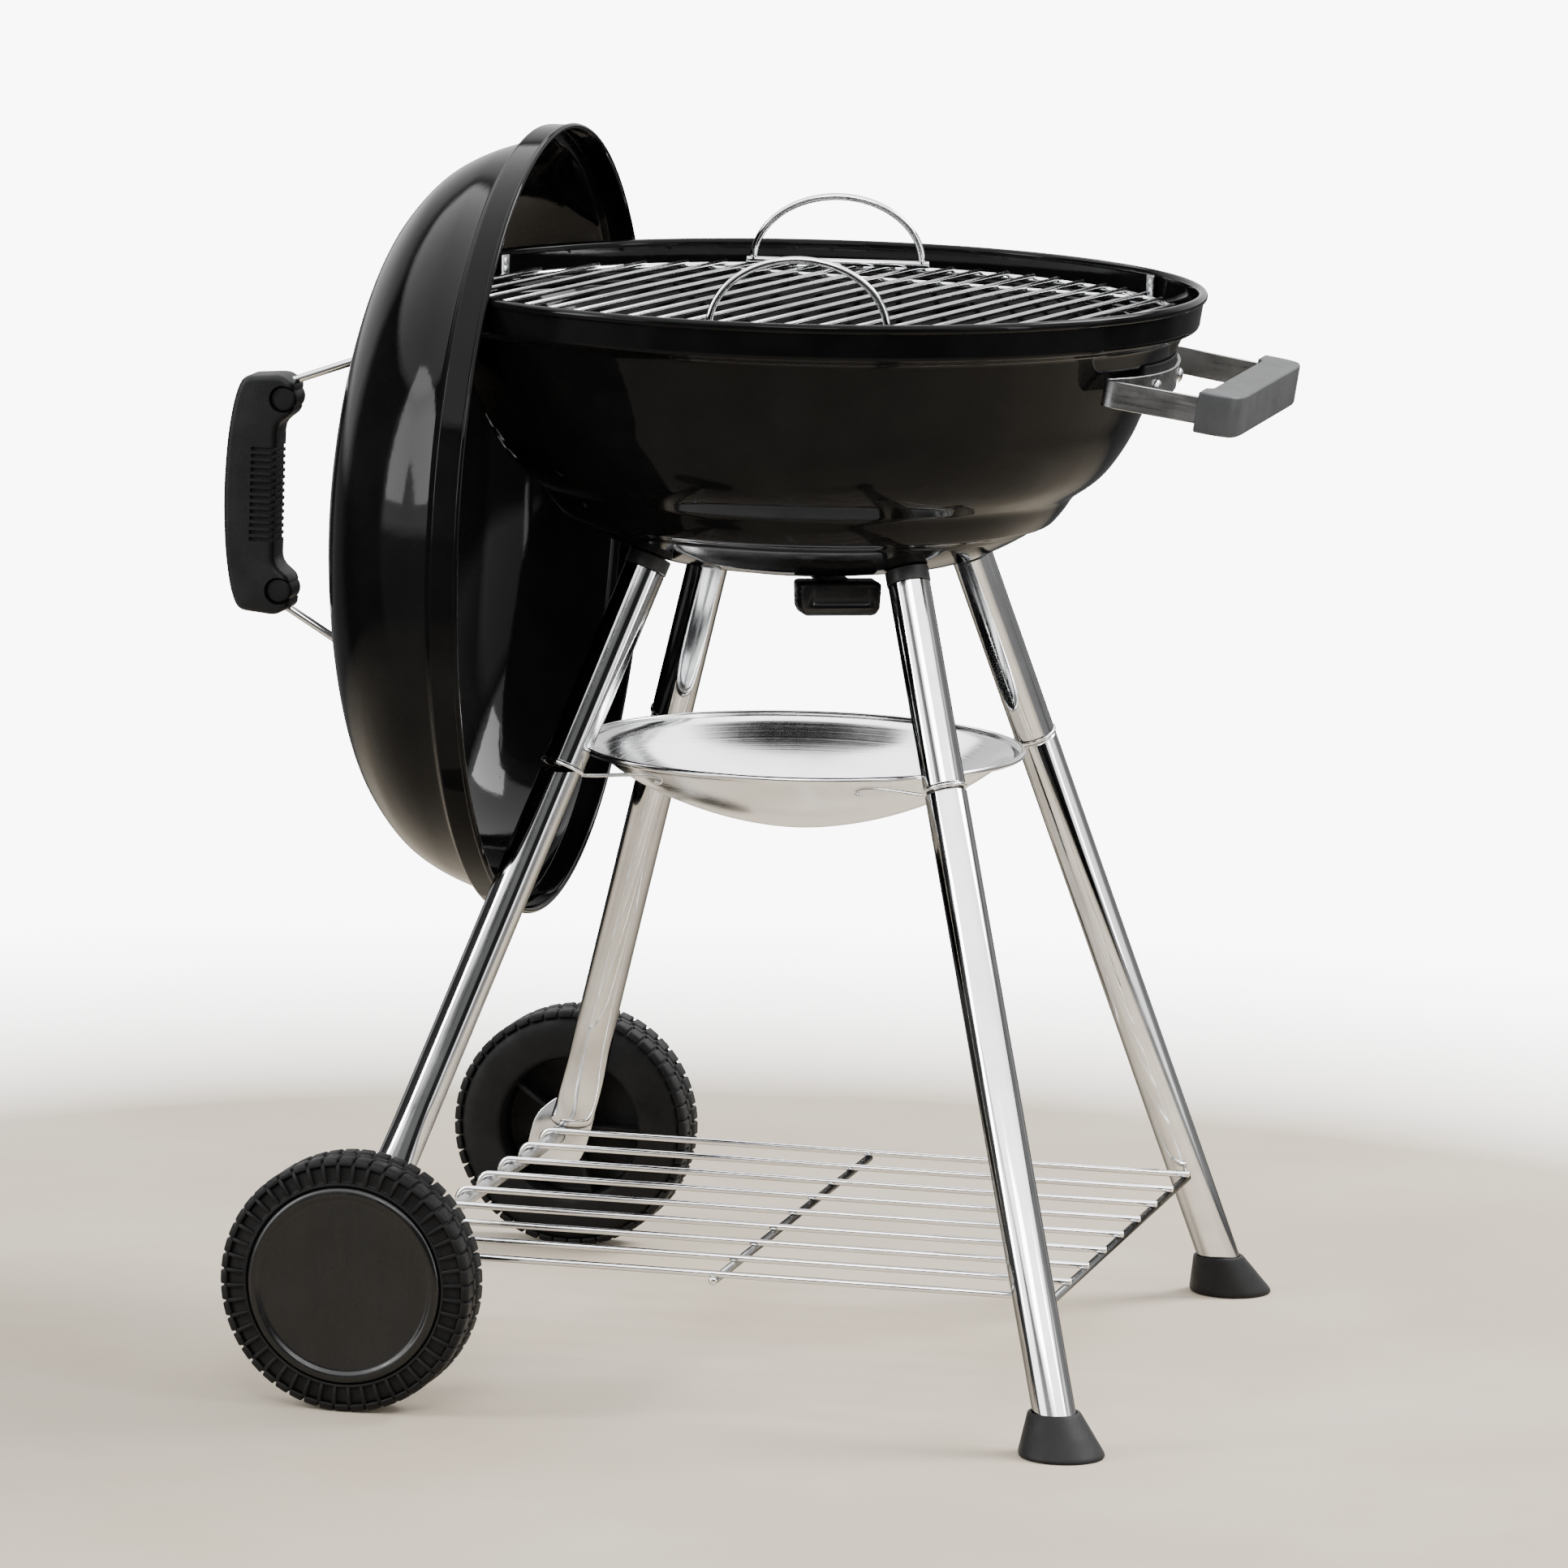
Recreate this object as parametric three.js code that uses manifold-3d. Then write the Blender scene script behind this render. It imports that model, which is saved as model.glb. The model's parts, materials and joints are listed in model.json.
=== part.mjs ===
// Kettle charcoal grill: an enamelled bowl on four tube legs, the left two on wheels, with the lid
// hung on the bowl's left edge, an ash dish below the bowl and a wire shelf between the legs.
// Units are mm and +Z is up. Everything is laid out from the point on the ground under the bowl's
// centre, with the side handle towards +X and the wheels towards -X; the last lines then move the
// whole grill so that its origin is the bottom centre of its bounding box.
import * as THREE from "three";
import { mergeVertices } from "three/addons/utils/BufferGeometryUtils.js";
import Module from "manifold-3d";

// ---- Driving dimensions ----

const GAP = 0.3; // between pieces that touch
const SHEET = 1.5; // wall of the bowl and the lid
const ROUND_SIDES = 32; // sides of the bowl and the lid

const BOWL = { rimZ: 643, rimR: 234, bead: 3, bandR: 230, bandZ: 624, baseZ: 476 };
const VENT = { count: 4, radius: 11, reach: 36 }; // air holes in the bowl's base

const LID = { radius: 236.5, x: -153.6, z: 492 }; // the centre of its rim as it hangs
const LID_TILT = THREE.MathUtils.degToRad(-0.5); // the top leans out from the bowl by this much
const LID_YAW = THREE.MathUtils.degToRad(0.65); // it hangs a little askew
const LID_VENT = { reach: 105, count: 4, radius: 8, holeReach: 21, plateR: 36 };
const HOOK = { width: 20, thickness: 1.5, tipX: -222.7, tipZ: 633 };
const LID_BAIL = { radius: 2.5, footX: 92, footZ: 115.9, reachX: 66.5, reachZ: 169.5 };
const LID_GRIP = { half: 73, outer: 204, inner: 171.5, lobe: 161.5, width: 28 };
const GRIP_LIFT = 5.5; // the grip sits this far above the middle of the bail's feet
const INSERT = { x: 58, radius: 8, width: 24 };
const NUT_RADIUS = 6; // to the corners of the nuts that hold the bail

const LEG = { radius: 12.5, wall: 1.2, topZ: 475, jointZ: 363, topY: 75 };
const LEG_SLOPE_Y = 0.368; // spread of a leg along Y for each mm that it comes down
// The legs are pushed into their sockets by hand, and none leans quite as the next: the X of each
// top, its slope along X, and how far up its socket the bolt's head sits on the bowl.
const LEGS = {
  left_near: { side: -1, depth: -1, topX: 80, slopeX: 0.324, boltHead: 12.3 },
  left_far: { side: -1, depth: 1, topX: 75, slopeX: 0.3, boltHead: 10.9 },
  right_near: { side: 1, depth: -1, topX: 80, slopeX: 0.3, boltHead: 12.2 },
  right_far: { side: 1, depth: 1, topX: 84, slopeX: 0.292, boltHead: 13.6 },
};
const CLIP = { radius: 1.2, ringR: 12.2, seat: 3 }; // wire clip held in the joint of a leg
const FOOT = { radius: 25, top: 15.5, height: 24, legEndZ: 12 };
const TAB = { y: 216, thickness: 2.4, crimpTopZ: 113, crimpHeight: 22 };

const WHEEL = { x: -200, radius: 75, innerY: 240, width: 38, capR: 57.9 };
const AXLE = { radius: 4, half: 271 };
const RACK = { wire: 2, rod: 2.5, count: 9, pitch: 49.6, rightX: 201, midX: 2 };
const RACK_Z = WHEEL.radius + AXLE.radius + RACK.wire + GAP; // the wires lie on the axle

const DISH = { radius: 134, rimZ: 365, bottomZ: 317 };

const GRATE = { ringR: 216.5, ringWire: 2.5, z: 627.5, wire: 1.6, pitch: 18.8 };
const GRATE_TURN = THREE.MathUtils.degToRad(-10); // the bars run this far off the Y axis
const COAL = { ringR: 160, ringWire: 2.5, z: 527, wire: 2.2, pitch: 20 };
const ARCH = { half: 51.5, rise: 45, wire: 2.2, turn: THREE.MathUtils.degToRad(9.6) };
const ARCH_PLACES = { near: [34, -180], far: [-27, 180] };
const BRACKET_ANGLES = { right: 39, back: 159, front: 279 };

const DAMPER = { radius: 56, top: 474.6, thickness: 1.2, angle: THREE.MathUtils.degToRad(-64) };
const SIDE = { x: 197, z: 596.5, droop: THREE.MathUtils.degToRad(8), arcR: 217, strap: 2 };
const SIDE_GRIP = { inner: 256, outer: 279, half: 100, height: 24 };

// ---- Looks ----

const ENAMEL = { color: 0x08080a, roughness: 0.12, metalness: 0.1 };
const CHROME = { color: 0xc9ccd0, roughness: 0.16, metalness: 1 };
const STEEL = { color: 0x9a9ca0, roughness: 0.35, metalness: 1 };
const BLACK_STEEL = { color: 0x141416, roughness: 0.45, metalness: 0.3 };
const BLACK_PLASTIC = { color: 0x0d0d0e, roughness: 0.4, metalness: 0 };
const GLOSS_PLASTIC = { color: 0x060607, roughness: 0.18, metalness: 0 };
const TYRE = { color: 0x121213, roughness: 0.75, metalness: 0 };
const LID_GREY = { color: 0x4a4b4d, roughness: 0.5, metalness: 0 };
const SIDE_GREY = { color: 0x6f7072, roughness: 0.5, metalness: 0 };

// ---- Geometry helpers ----

const wasm = await Module();
wasm.setup();

const deg = THREE.MathUtils.degToRad;
const vec = (x, y, z) => new THREE.Vector3(x, y, z);

// A closed geometry as a manifold-3d solid, moved by a matrix first.
function solid(geometry, matrix = new THREE.Matrix4()) {
  const plain = geometry.index ? geometry.toNonIndexed() : geometry;
  const bare = new THREE.BufferGeometry();
  bare.setAttribute("position", plain.getAttribute("position").clone());
  const merged = mergeVertices(bare.applyMatrix4(matrix), 1e-4);
  return new wasm.Manifold(
    new wasm.Mesh({
      numProp: 3,
      vertProperties: merged.attributes.position.array,
      triVerts: new Uint32Array(merged.index.array),
    }),
  );
}

// A manifold-3d solid as a geometry.
function geometryOf(body) {
  const mesh = body.getMesh();
  const geometry = new THREE.BufferGeometry();
  geometry.setAttribute("position", new THREE.BufferAttribute(mesh.vertProperties, 3));
  geometry.setIndex(new THREE.BufferAttribute(mesh.triVerts, 1));
  geometry.computeVertexNormals();
  return geometry;
}

const join = (geometries) => geometries.map((g) => solid(g)).reduce((all, one) => all.add(one));
const cut = (body, geometries) => body.subtract(join(geometries));

// Adds one named piece, with a material of its own, to a group.
function part(group, name, shape, look) {
  const geometry = shape.isBufferGeometry ? shape : geometryOf(shape);
  const mesh = new THREE.Mesh(geometry, new THREE.MeshStandardMaterial(look));
  mesh.name = name;
  group.add(mesh);
  return mesh;
}

// Turns a (radius, height) outline around Z. An outline that leaves the axis is closed on itself.
function revolve(outline, sides) {
  const points = outline.map(([r, z]) => new THREE.Vector2(r, z));
  if (THREE.ShapeUtils.area(points) < 0) points.reverse();
  if (points[0].x > 0 || points.at(-1).x > 0) points.push(points[0].clone());
  return new THREE.LatheGeometry(points, sides).rotateX(Math.PI / 2);
}

// Moves a line of 2D points to its left by a distance, with mitred corners. A wall outline that
// ends on the axis ends level, so that its offset stays on the axis.
function offsetLine(line, distance) {
  const left = (a, b) => new THREE.Vector2(a[1] - b[1], b[0] - a[0]).normalize();
  return line.map((point, i) => {
    const before = i > 0 ? left(line[i - 1], point) : left(point, line[i + 1]);
    const after = i < line.length - 1 ? left(point, line[i + 1]) : before;
    const side = before.clone().add(after).normalize();
    const reach = distance / side.dot(after);
    return [point[0] + side.x * reach, point[1] + side.y * reach];
  });
}

// The outline of a strip of even thickness along a line of 2D points.
function stripShape(line, thickness) {
  const outline = [...offsetLine(line, thickness / 2), ...offsetLine(line, -thickness / 2).reverse()];
  return new THREE.Shape(outline.map(([x, y]) => new THREE.Vector2(x, y)));
}

// Points on an arc, angles in degrees.
function arc(centre, radius, from, to, steps) {
  return Array.from({ length: steps + 1 }, (_, i) => {
    const angle = deg(from + ((to - from) * i) / steps);
    return [centre[0] + radius * Math.cos(angle), centre[1] + radius * Math.sin(angle)];
  });
}

// A path whose sweep steps fall on its given points.
class PointPath extends THREE.Curve {
  constructor(points) {
    super();
    this.points = points.map((p) => vec(...p));
  }
  getPoint(t) {
    const place = t * (this.points.length - 1);
    const i = Math.min(Math.floor(place), this.points.length - 2);
    return this.points[i].clone().lerp(this.points[i + 1], place - i);
  }
  getPointAt(u) {
    return this.getPoint(u);
  }
  getTangentAt(u) {
    const i = Math.round(u * (this.points.length - 1));
    const before = this.points[Math.max(i - 1, 0)];
    const after = this.points[Math.min(i + 1, this.points.length - 1)];
    return after.clone().sub(before).normalize();
  }
}

// A round wire through points.
function wire(points, radius, sides = 6) {
  const section = new THREE.Shape(
    arc([0, 0], radius, 0, 360, sides)
      .slice(0, sides)
      .map(([x, y]) => new THREE.Vector2(x, y)),
  );
  return new THREE.ExtrudeGeometry(section, {
    steps: points.length - 1,
    extrudePath: new PointPath(points),
  });
}

// A straight round bar between two points.
function bar(from, to, radius, sides = 6) {
  const start = vec(...from);
  const end = vec(...to);
  const turn = new THREE.Quaternion().setFromUnitVectors(
    vec(0, 1, 0),
    end.clone().sub(start).normalize(),
  );
  const place = new THREE.Matrix4().compose(start.clone().lerp(end, 0.5), turn, vec(1, 1, 1));
  const length = start.distanceTo(end);
  return new THREE.CylinderGeometry(radius, radius, length, sides).applyMatrix4(place);
}

// A round tube along Z.
function tube(outer, inner, bottom, top, sides) {
  const outline = [
    [inner, bottom],
    [outer, bottom],
    [outer, top],
    [inner, top],
  ];
  return revolve(outline, sides);
}

// A box from its lowest to its highest corner.
function block(low, high) {
  const size = high.map((v, i) => v - low[i]);
  const middle = high.map((v, i) => (v + low[i]) / 2);
  return new THREE.BoxGeometry(...size).translate(...middle);
}

// A bolt or rivet along Z: its head from headZ up, its shank from tipZ.
function bolt(headR, headHeight, shankR, tipZ, headZ, sides = 10) {
  const outline = [
    [0, tipZ],
    [shankR, tipZ],
    [shankR, headZ],
    [headR, headZ],
    [headR * 0.8, headZ + headHeight],
    [0, headZ + headHeight],
  ];
  return revolve(outline, sides);
}

// A rivet through a stack of sheets from bottomZ to topZ, with a head on each side.
function rivet(headR, headHeight, shankR, bottomZ, topZ, sides = 10) {
  const outline = [
    [0, bottomZ - headHeight],
    [headR, bottomZ - headHeight],
    [headR, bottomZ],
    [shankR, bottomZ],
    [shankR, topZ],
    [headR, topZ],
    [headR * 0.7, topZ + headHeight],
    [0, topZ + headHeight],
  ];
  return revolve(outline, sides);
}

// Copies of a hole cutter spread evenly around Z.
function aroundZ(geometry, count, start = 0) {
  return Array.from({ length: count }, (_, i) =>
    geometry.clone().rotateZ(start + (i * 2 * Math.PI) / count),
  );
}

// ---- Bowl ----

// The outer wall from the centre of the base to the top of the band.
const BOWL_WALL = [
  [0, BOWL.baseZ],
  [72, BOWL.baseZ],
  [96, 479.5],
  [119, 489.5],
  [133.5, 498],
  [136, 500.5],
  [145.5, 503],
  [152.5, 511],
  [157.5, 519],
  [160, 521.5],
  [174, 531],
  [184, 543.5],
  [193, 559],
  [198.5, 573],
  [221, 618],
  [229, 621.5],
  [BOWL.bandR, BOWL.bandZ],
  [BOWL.bandR, 637],
];

// The room taken by the bowl, lowered a little: what stands against the bowl is cut back by it.
function bowlRoom(drop) {
  const outline = [...BOWL_WALL.map(([r, z]) => [r, z - drop]), [BOWL.bandR, 700], [0, 700]];
  return revolve(outline, ROUND_SIDES);
}

// A frame on one leg: its origin is the top of the leg tube and its Z axis runs up the leg.
function legFrame({ side, depth, topX, slopeX }) {
  const up = vec(-side * slopeX, -depth * LEG_SLOPE_Y, 1).normalize();
  const turn = new THREE.Quaternion().setFromUnitVectors(vec(0, 0, 1), up);
  const top = vec(side * topX, depth * LEG.topY, LEG.topZ);
  return new THREE.Matrix4().compose(top, turn, vec(1, 1, 1));
}

// The place on a leg's axis at a height, as Z in the leg's frame and as a point in the layout.
const alongLeg = ({ slopeX }, z) => (z - LEG.topZ) * Math.hypot(slopeX, LEG_SLOPE_Y, 1);
function onLeg({ side, depth, topX, slopeX }, z) {
  const drop = LEG.topZ - z;
  return vec(side * (topX + slopeX * drop), depth * (LEG.topY + LEG_SLOPE_Y * drop), z);
}

// The side handle hangs on the bowl by a strap, and droops a little outwards.
const sideFrame = new THREE.Matrix4()
  .makeTranslation(SIDE.x, 0, SIDE.z)
  .multiply(new THREE.Matrix4().makeRotationY(SIDE.droop))
  .multiply(new THREE.Matrix4().makeTranslation(-SIDE.x, 0, 0));
const SIDE_BOLT_ANGLES = { near: -8.5, far: 8.5 };

function makeBowl() {
  const bead = arc([BOWL.rimR - BOWL.bead, BOWL.rimZ - BOWL.bead], BOWL.bead, -45, 135, 4);
  const inside = offsetLine(BOWL_WALL, SHEET).reverse();
  const shell = solid(revolve([...BOWL_WALL, ...bead, ...inside], ROUND_SIDES));
  const vent = bar([VENT.reach, 0, 470], [VENT.reach, 0, 485], VENT.radius, 16);
  const pivot = bar([0, 0, 470], [0, 0, 485], 3 + GAP, 10);
  const legHoles = Object.values(LEGS).map((leg) =>
    bar([0, 0, -5], [0, 0, 25], 3 + GAP, 10).applyMatrix4(legFrame(leg)),
  );
  const handleHoles = Object.values(SIDE_BOLT_ANGLES).map((angle) =>
    bar([190, 0, 0], [225, 0, 0], 2.5 + GAP, 10).rotateZ(deg(angle)).applyMatrix4(sideFrame),
  );
  return cut(shell, [...aroundZ(vent, VENT.count), pivot, ...legHoles, ...handleHoles]);
}

// A strip bent inwards at its foot, welded inside the band, that carries the cooking grate.
function makeBracket() {
  const thickness = 1.4;
  const flatR = (BOWL.bandR - SHEET) * Math.cos(Math.PI / ROUND_SIDES); // to the middle of a side
  const wallR = flatR - GAP - thickness;
  const shelfZ = GRATE.z - GRATE.ringWire - GAP - thickness / 2;
  const line = [
    [wallR, 640],
    [wallR, shelfZ],
    [GRATE.ringR - 3, shelfZ],
  ];
  const outline = stripShape(line, thickness);
  const strip = new THREE.ExtrudeGeometry(outline, { depth: 8, bevelEnabled: false });
  return strip.translate(0, 0, -4).rotateX(Math.PI / 2);
}

function addBowl(grill) {
  part(grill, "bowl", makeBowl(), ENAMEL);
  for (const [name, angle] of Object.entries(BRACKET_ANGLES)) {
    part(grill, `grate_bracket_${name}`, makeBracket(), STEEL).rotation.z = deg(angle);
  }
}

// ---- Bottom damper ----

function addDamper(grill) {
  const bottom = DAMPER.top - DAMPER.thickness;
  const arm = { half: 10, end: 90 };
  const turn = new THREE.Group();
  turn.rotation.z = DAMPER.angle;
  grill.add(turn);

  const disc = bar([0, 0, bottom], [0, 0, DAMPER.top], DAMPER.radius, 32);
  const lever = block([40, -arm.half, bottom], [arm.end, arm.half, DAMPER.top]);
  const vent = bar([VENT.reach, 0, 470], [VENT.reach, 0, 480], VENT.radius, 16);
  const pivot = bar([0, 0, 470], [0, 0, 480], 3 + GAP, 10);
  const holes = [...aroundZ(vent, VENT.count, -DAMPER.angle), pivot];
  part(turn, "damper_plate", cut(join([disc, lever]), holes), STEEL);

  // The grip is a rounded block on the end of the lever, which lies in a slot in its top.
  const outline = new THREE.Shape();
  outline.moveTo(-21.5, 453).lineTo(21.5, 453).lineTo(24.5, 457);
  outline.lineTo(24.5, 475.4).lineTo(-24.5, 475.4).lineTo(-24.5, 457);
  const grip = new THREE.ExtrudeGeometry(outline, {
    depth: 22,
    bevelThickness: 2,
    bevelSize: 1.5,
    bevelOffset: -1.5,
    bevelSegments: 2,
  });
  grip.rotateX(Math.PI / 2).rotateZ(Math.PI / 2).translate(73, 0, 0);
  const slot = block([60, -arm.half - GAP, bottom - GAP], [arm.end + GAP, arm.half + GAP, 480]);
  part(turn, "damper_grip", cut(solid(grip), [slot]), GLOSS_PLASTIC);

  const headTop = bottom - GAP;
  const pin = rivet(6, 2.4, 3, headTop, BOWL.baseZ + SHEET + GAP);
  part(grill, "damper_pivot_rivet", pin, STEEL);
}

// ---- Legs ----

// A tube whose upper end is drawn down to slide into the leg above it.
function lowerTube(leg, bottom) {
  const shoulder = alongLeg(leg, LEG.jointZ) - CLIP.seat;
  const neck = 1.8;
  const outline = [
    [LEG.radius, bottom],
    [LEG.radius, shoulder - neck],
    [LEG.radius - neck, shoulder],
    [LEG.radius - neck, shoulder + 30],
    [LEG.radius - neck - LEG.wall, shoulder + 30],
    [LEG.radius - neck - LEG.wall, shoulder - 1],
    [LEG.radius - LEG.wall, shoulder - neck - 1],
    [LEG.radius - LEG.wall, bottom],
  ];
  return revolve(outline, 14);
}

// The left legs end in a crimp and a flat tab with the axle's hole; the right legs are plain, with
// a hole for the shelf's end rod.
function makeLowerLeg(leg) {
  const { side, depth } = leg;
  const toLeg = legFrame(leg).invert();
  if (side > 0) {
    const rodZ = RACK_Z - 3.9;
    const hole = bar([RACK.rightX, 0, rodZ], [RACK.rightX, depth * 222.5, rodZ], 2.9, 8);
    return cut(solid(lowerTube(leg, alongLeg(leg, FOOT.legEndZ))), [hole.applyMatrix4(toLeg)]);
  }
  const top = alongLeg(leg, TAB.crimpTopZ);
  const tubeX = onLeg(leg, TAB.crimpTopZ - 14).x - WHEEL.x; // the tube's middle at the tab's top
  const crimp = new THREE.CylinderGeometry(LEG.radius, LEG.radius, TAB.crimpHeight, 14, 3);
  crimp.rotateX(Math.PI / 2).translate(0, 0, top - TAB.crimpHeight / 2);
  const place = crimp.attributes.position;
  for (let i = 0; i < place.count; i++) {
    const share = THREE.MathUtils.smoothstep(top - place.getZ(i), 0, TAB.crimpHeight);
    place.setX(i, place.getX(i) * (1 + 0.3 * share));
    place.setY(i, place.getY(i) * (1 - 0.87 * share));
  }
  const outline = [
    [-19, -3],
    [-15, 14],
    [tubeX - 14, 24],
    [tubeX + 14, 26],
    [20, 2],
    [16, -11],
    [12, -17],
    [-14, -17],
    [-20, -10],
  ];
  const tab = new THREE.ExtrudeGeometry(
    new THREE.Shape(outline.map(([x, z]) => new THREE.Vector2(x, z))),
    { depth: TAB.thickness, bevelEnabled: false },
  );
  tab.rotateX(Math.PI / 2);
  tab.translate(WHEEL.x, depth * TAB.y + TAB.thickness / 2, WHEEL.radius);
  const hole = bar([WHEEL.x, depth * 200, 75], [WHEEL.x, depth * 230, 75], AXLE.radius + GAP, 12);
  const whole = join([lowerTube(leg, top - 0.5), crimp]).add(solid(tab, toLeg));
  return cut(whole, [hole.applyMatrix4(toLeg)]);
}

// A socket under the bowl: a collar that meets the bowl, with a plug inside the leg tube.
function makeSocket(leg) {
  const collar = LEG.radius + 0.5;
  const plug = LEG.radius - LEG.wall - GAP;
  const outline = [
    [3 + GAP, -20],
    [3 + GAP, 45],
    [collar, 45],
    [collar, GAP],
    [plug, GAP],
    [plug, -25],
    [0, -25],
    [0, -20],
  ];
  return solid(revolve(outline, 12)).subtract(solid(bowlRoom(0.5), legFrame(leg).invert()));
}

// A rubber cap on a foot, leaning with its leg.
function makeFoot(leg) {
  const outline = [
    [0, 0],
    [FOOT.radius - 1, 0],
    [FOOT.radius, 2],
    [FOOT.radius - 0.5, 4],
    [FOOT.top + 0.5, FOOT.height - 2],
    [FOOT.top, FOOT.height],
    [0, FOOT.height],
  ];
  const slopes = [-leg.side * leg.slopeX, -leg.depth * LEG_SLOPE_Y];
  const lean = new THREE.Matrix4().makeShear(0, 0, 0, 0, ...slopes);
  lean.premultiply(new THREE.Matrix4().makeTranslation(onLeg(leg, 0)));
  const start = alongLeg(leg, FOOT.legEndZ) - GAP;
  const pocket = bar([0, 0, start], [0, 0, start + 60], LEG.radius + GAP, 16);
  const cap = solid(revolve(outline, 24), lean);
  return cut(cap, [pocket.rotateZ(deg(11.25)).applyMatrix4(legFrame(leg))]);
}

// A wire ring round the joint of a leg, with an arm under the rim of the ash dish.
function makeClip(leg) {
  const { side, depth } = leg;
  const z = alongLeg(leg, LEG.jointZ) - CLIP.seat / 2;
  const toLeg = legFrame(leg).invert();
  const ring = new THREE.TorusGeometry(CLIP.ringR, CLIP.radius, 5, 16).translate(0, 0, z);
  const reach = [
    [side * 70, depth * 107.5, 357.8],
    [side * 63, depth * 108, 357.8],
    [side * 58, depth * 108.5, 354.8],
  ].map((point) => vec(...point).applyMatrix4(toLeg).toArray());
  const innerY = -depth * CLIP.ringR;
  const arm = [[0, innerY, z], [-side * 10, innerY, z], ...reach];
  return join([ring, wire(arm, CLIP.radius, 5)]);
}

function addLegs(grill) {
  for (const [name, leg] of Object.entries(LEGS)) {
    const group = new THREE.Group();
    legFrame(leg).decompose(group.position, group.quaternion, group.scale);
    grill.add(group);
    part(group, `leg_socket_${name}`, makeSocket(leg), BLACK_STEEL);
    part(group, `leg_bolt_${name}`, bolt(6, 3, 3, -18, leg.boltHead), STEEL);
    const upper = tube(LEG.radius, LEG.radius - LEG.wall, alongLeg(leg, LEG.jointZ), 0, 14);
    part(group, `upper_leg_${name}`, upper, CHROME);
    part(group, `lower_leg_${name}`, makeLowerLeg(leg), CHROME);
    part(group, `dish_clip_${name}`, makeClip(leg), STEEL);
    if (leg.side > 0) part(grill, `foot_cap_${name}`, makeFoot(leg), BLACK_PLASTIC);
  }
}

// ---- Wheels and axle ----

// A moulded wheel around Z, with its inner face at 0 and its hub reaching back towards the leg.
function makeWheel() {
  const outline = [
    [AXLE.radius + 0.4, -20],
    [10, -20],
    [11, 21],
    [43, 21],
    [44, 2],
    [47, 0],
    [66, 0],
    [72.5, 3],
    [WHEEL.radius, 8],
    [WHEEL.radius, WHEEL.width - 8],
    [72.5, WHEEL.width - 3],
    [64, WHEEL.width],
    [WHEEL.capR + GAP, WHEEL.width - 0.5],
    [WHEEL.capR + GAP, 34],
    [50, 33],
    [46, 25],
    [11, 25],
    [10, 28],
    [AXLE.radius + 0.4, 28],
  ];
  const rib = block([9, -1.5, 6], [45, 1.5, 22]);
  return solid(revolve(outline, 24)).add(join(aroundZ(rib, 5)));
}

function makeHubCap() {
  const outline = [
    [0, 37.4],
    [51, 37.4],
    [53.5, 39],
    [56.5, 38.6],
    [WHEEL.capR, 36.5],
    [WHEEL.capR, 34.4],
    [53.5, 34.4],
    [51, 35.8],
    [0, 35.8],
  ];
  return revolve(outline, 24);
}

// A push-on cap that closes over the end of the axle and holds the wheel.
function makePushCap() {
  const outline = [
    [0, 33.4],
    [6.5, 33.4],
    [9, 30],
    [9, 28.4],
    [AXLE.radius + GAP, 28.4],
    [AXLE.radius + GAP, 31.6],
    [0, 31.6],
  ];
  return revolve(outline, 14);
}

function addWheels(grill) {
  for (const [name, depth] of Object.entries({ near: -1, far: 1 })) {
    const place = new THREE.Group();
    place.position.set(WHEEL.x, depth * WHEEL.innerY, WHEEL.radius);
    place.rotation.x = (-depth * Math.PI) / 2;
    grill.add(place);
    part(place, `wheel_${name}`, makeWheel(), TYRE);
    part(place, `hub_cap_${name}`, makeHubCap(), GLOSS_PLASTIC);
    part(place, `axle_cap_${name}`, makePushCap(), STEEL);
    const spacer = tube(8, AXLE.radius + GAP, -22.4, -20.3, 14);
    part(place, `axle_spacer_${name}`, spacer, STEEL);
  }
  const ends = [AXLE.half, -AXLE.half].map((y) => [WHEEL.x, y, WHEEL.radius]);
  part(grill, "axle", bar(...ends, AXLE.radius, 12), STEEL);
}

// ---- Wire shelf ----

// Wires along X, hooked over the axle on the left and welded to two cross rods.
function addRack(grill) {
  const wrap = AXLE.radius + RACK.wire + GAP;
  const hook = arc([WHEEL.x, WHEEL.radius], wrap, 205, 90, 4);
  const wires = Array.from({ length: RACK.count }, (_, i) => {
    const y = (i - (RACK.count - 1) / 2) * RACK.pitch;
    const line = [...hook, [RACK.rightX + 3, RACK_Z]];
    return wire(
      line.map(([x, z]) => [x, y, z]),
      RACK.wire,
    );
  });
  const rodZ = RACK_Z - RACK.wire - RACK.rod + 0.6;
  const half = ((RACK.count - 1) / 2) * RACK.pitch + 3;
  const middle = bar([RACK.midX, -half, rodZ], [RACK.midX, half, rodZ], RACK.rod, 8);
  const end = bar([RACK.rightX, -221.5, rodZ], [RACK.rightX, 221.5, rodZ], RACK.rod, 8);
  part(grill, "bottom_rack", join([...wires, middle, end]), CHROME);
}

// ---- Ash dish ----

function addDish(grill) {
  const wall = [
    [0, DISH.bottomZ],
    [20, DISH.bottomZ],
    [60, 326],
    [100, 343],
    [124, 360.5],
    [132, 362.5],
  ];
  const bead = arc([DISH.radius - 2, DISH.rimZ - 1.2], 2, -60, 120, 3);
  const inside = offsetLine(wall, 1.2).reverse();
  part(grill, "ash_dish", revolve([...wall, ...bead, ...inside], 28), CHROME);
}

// ---- Grates ----

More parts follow.
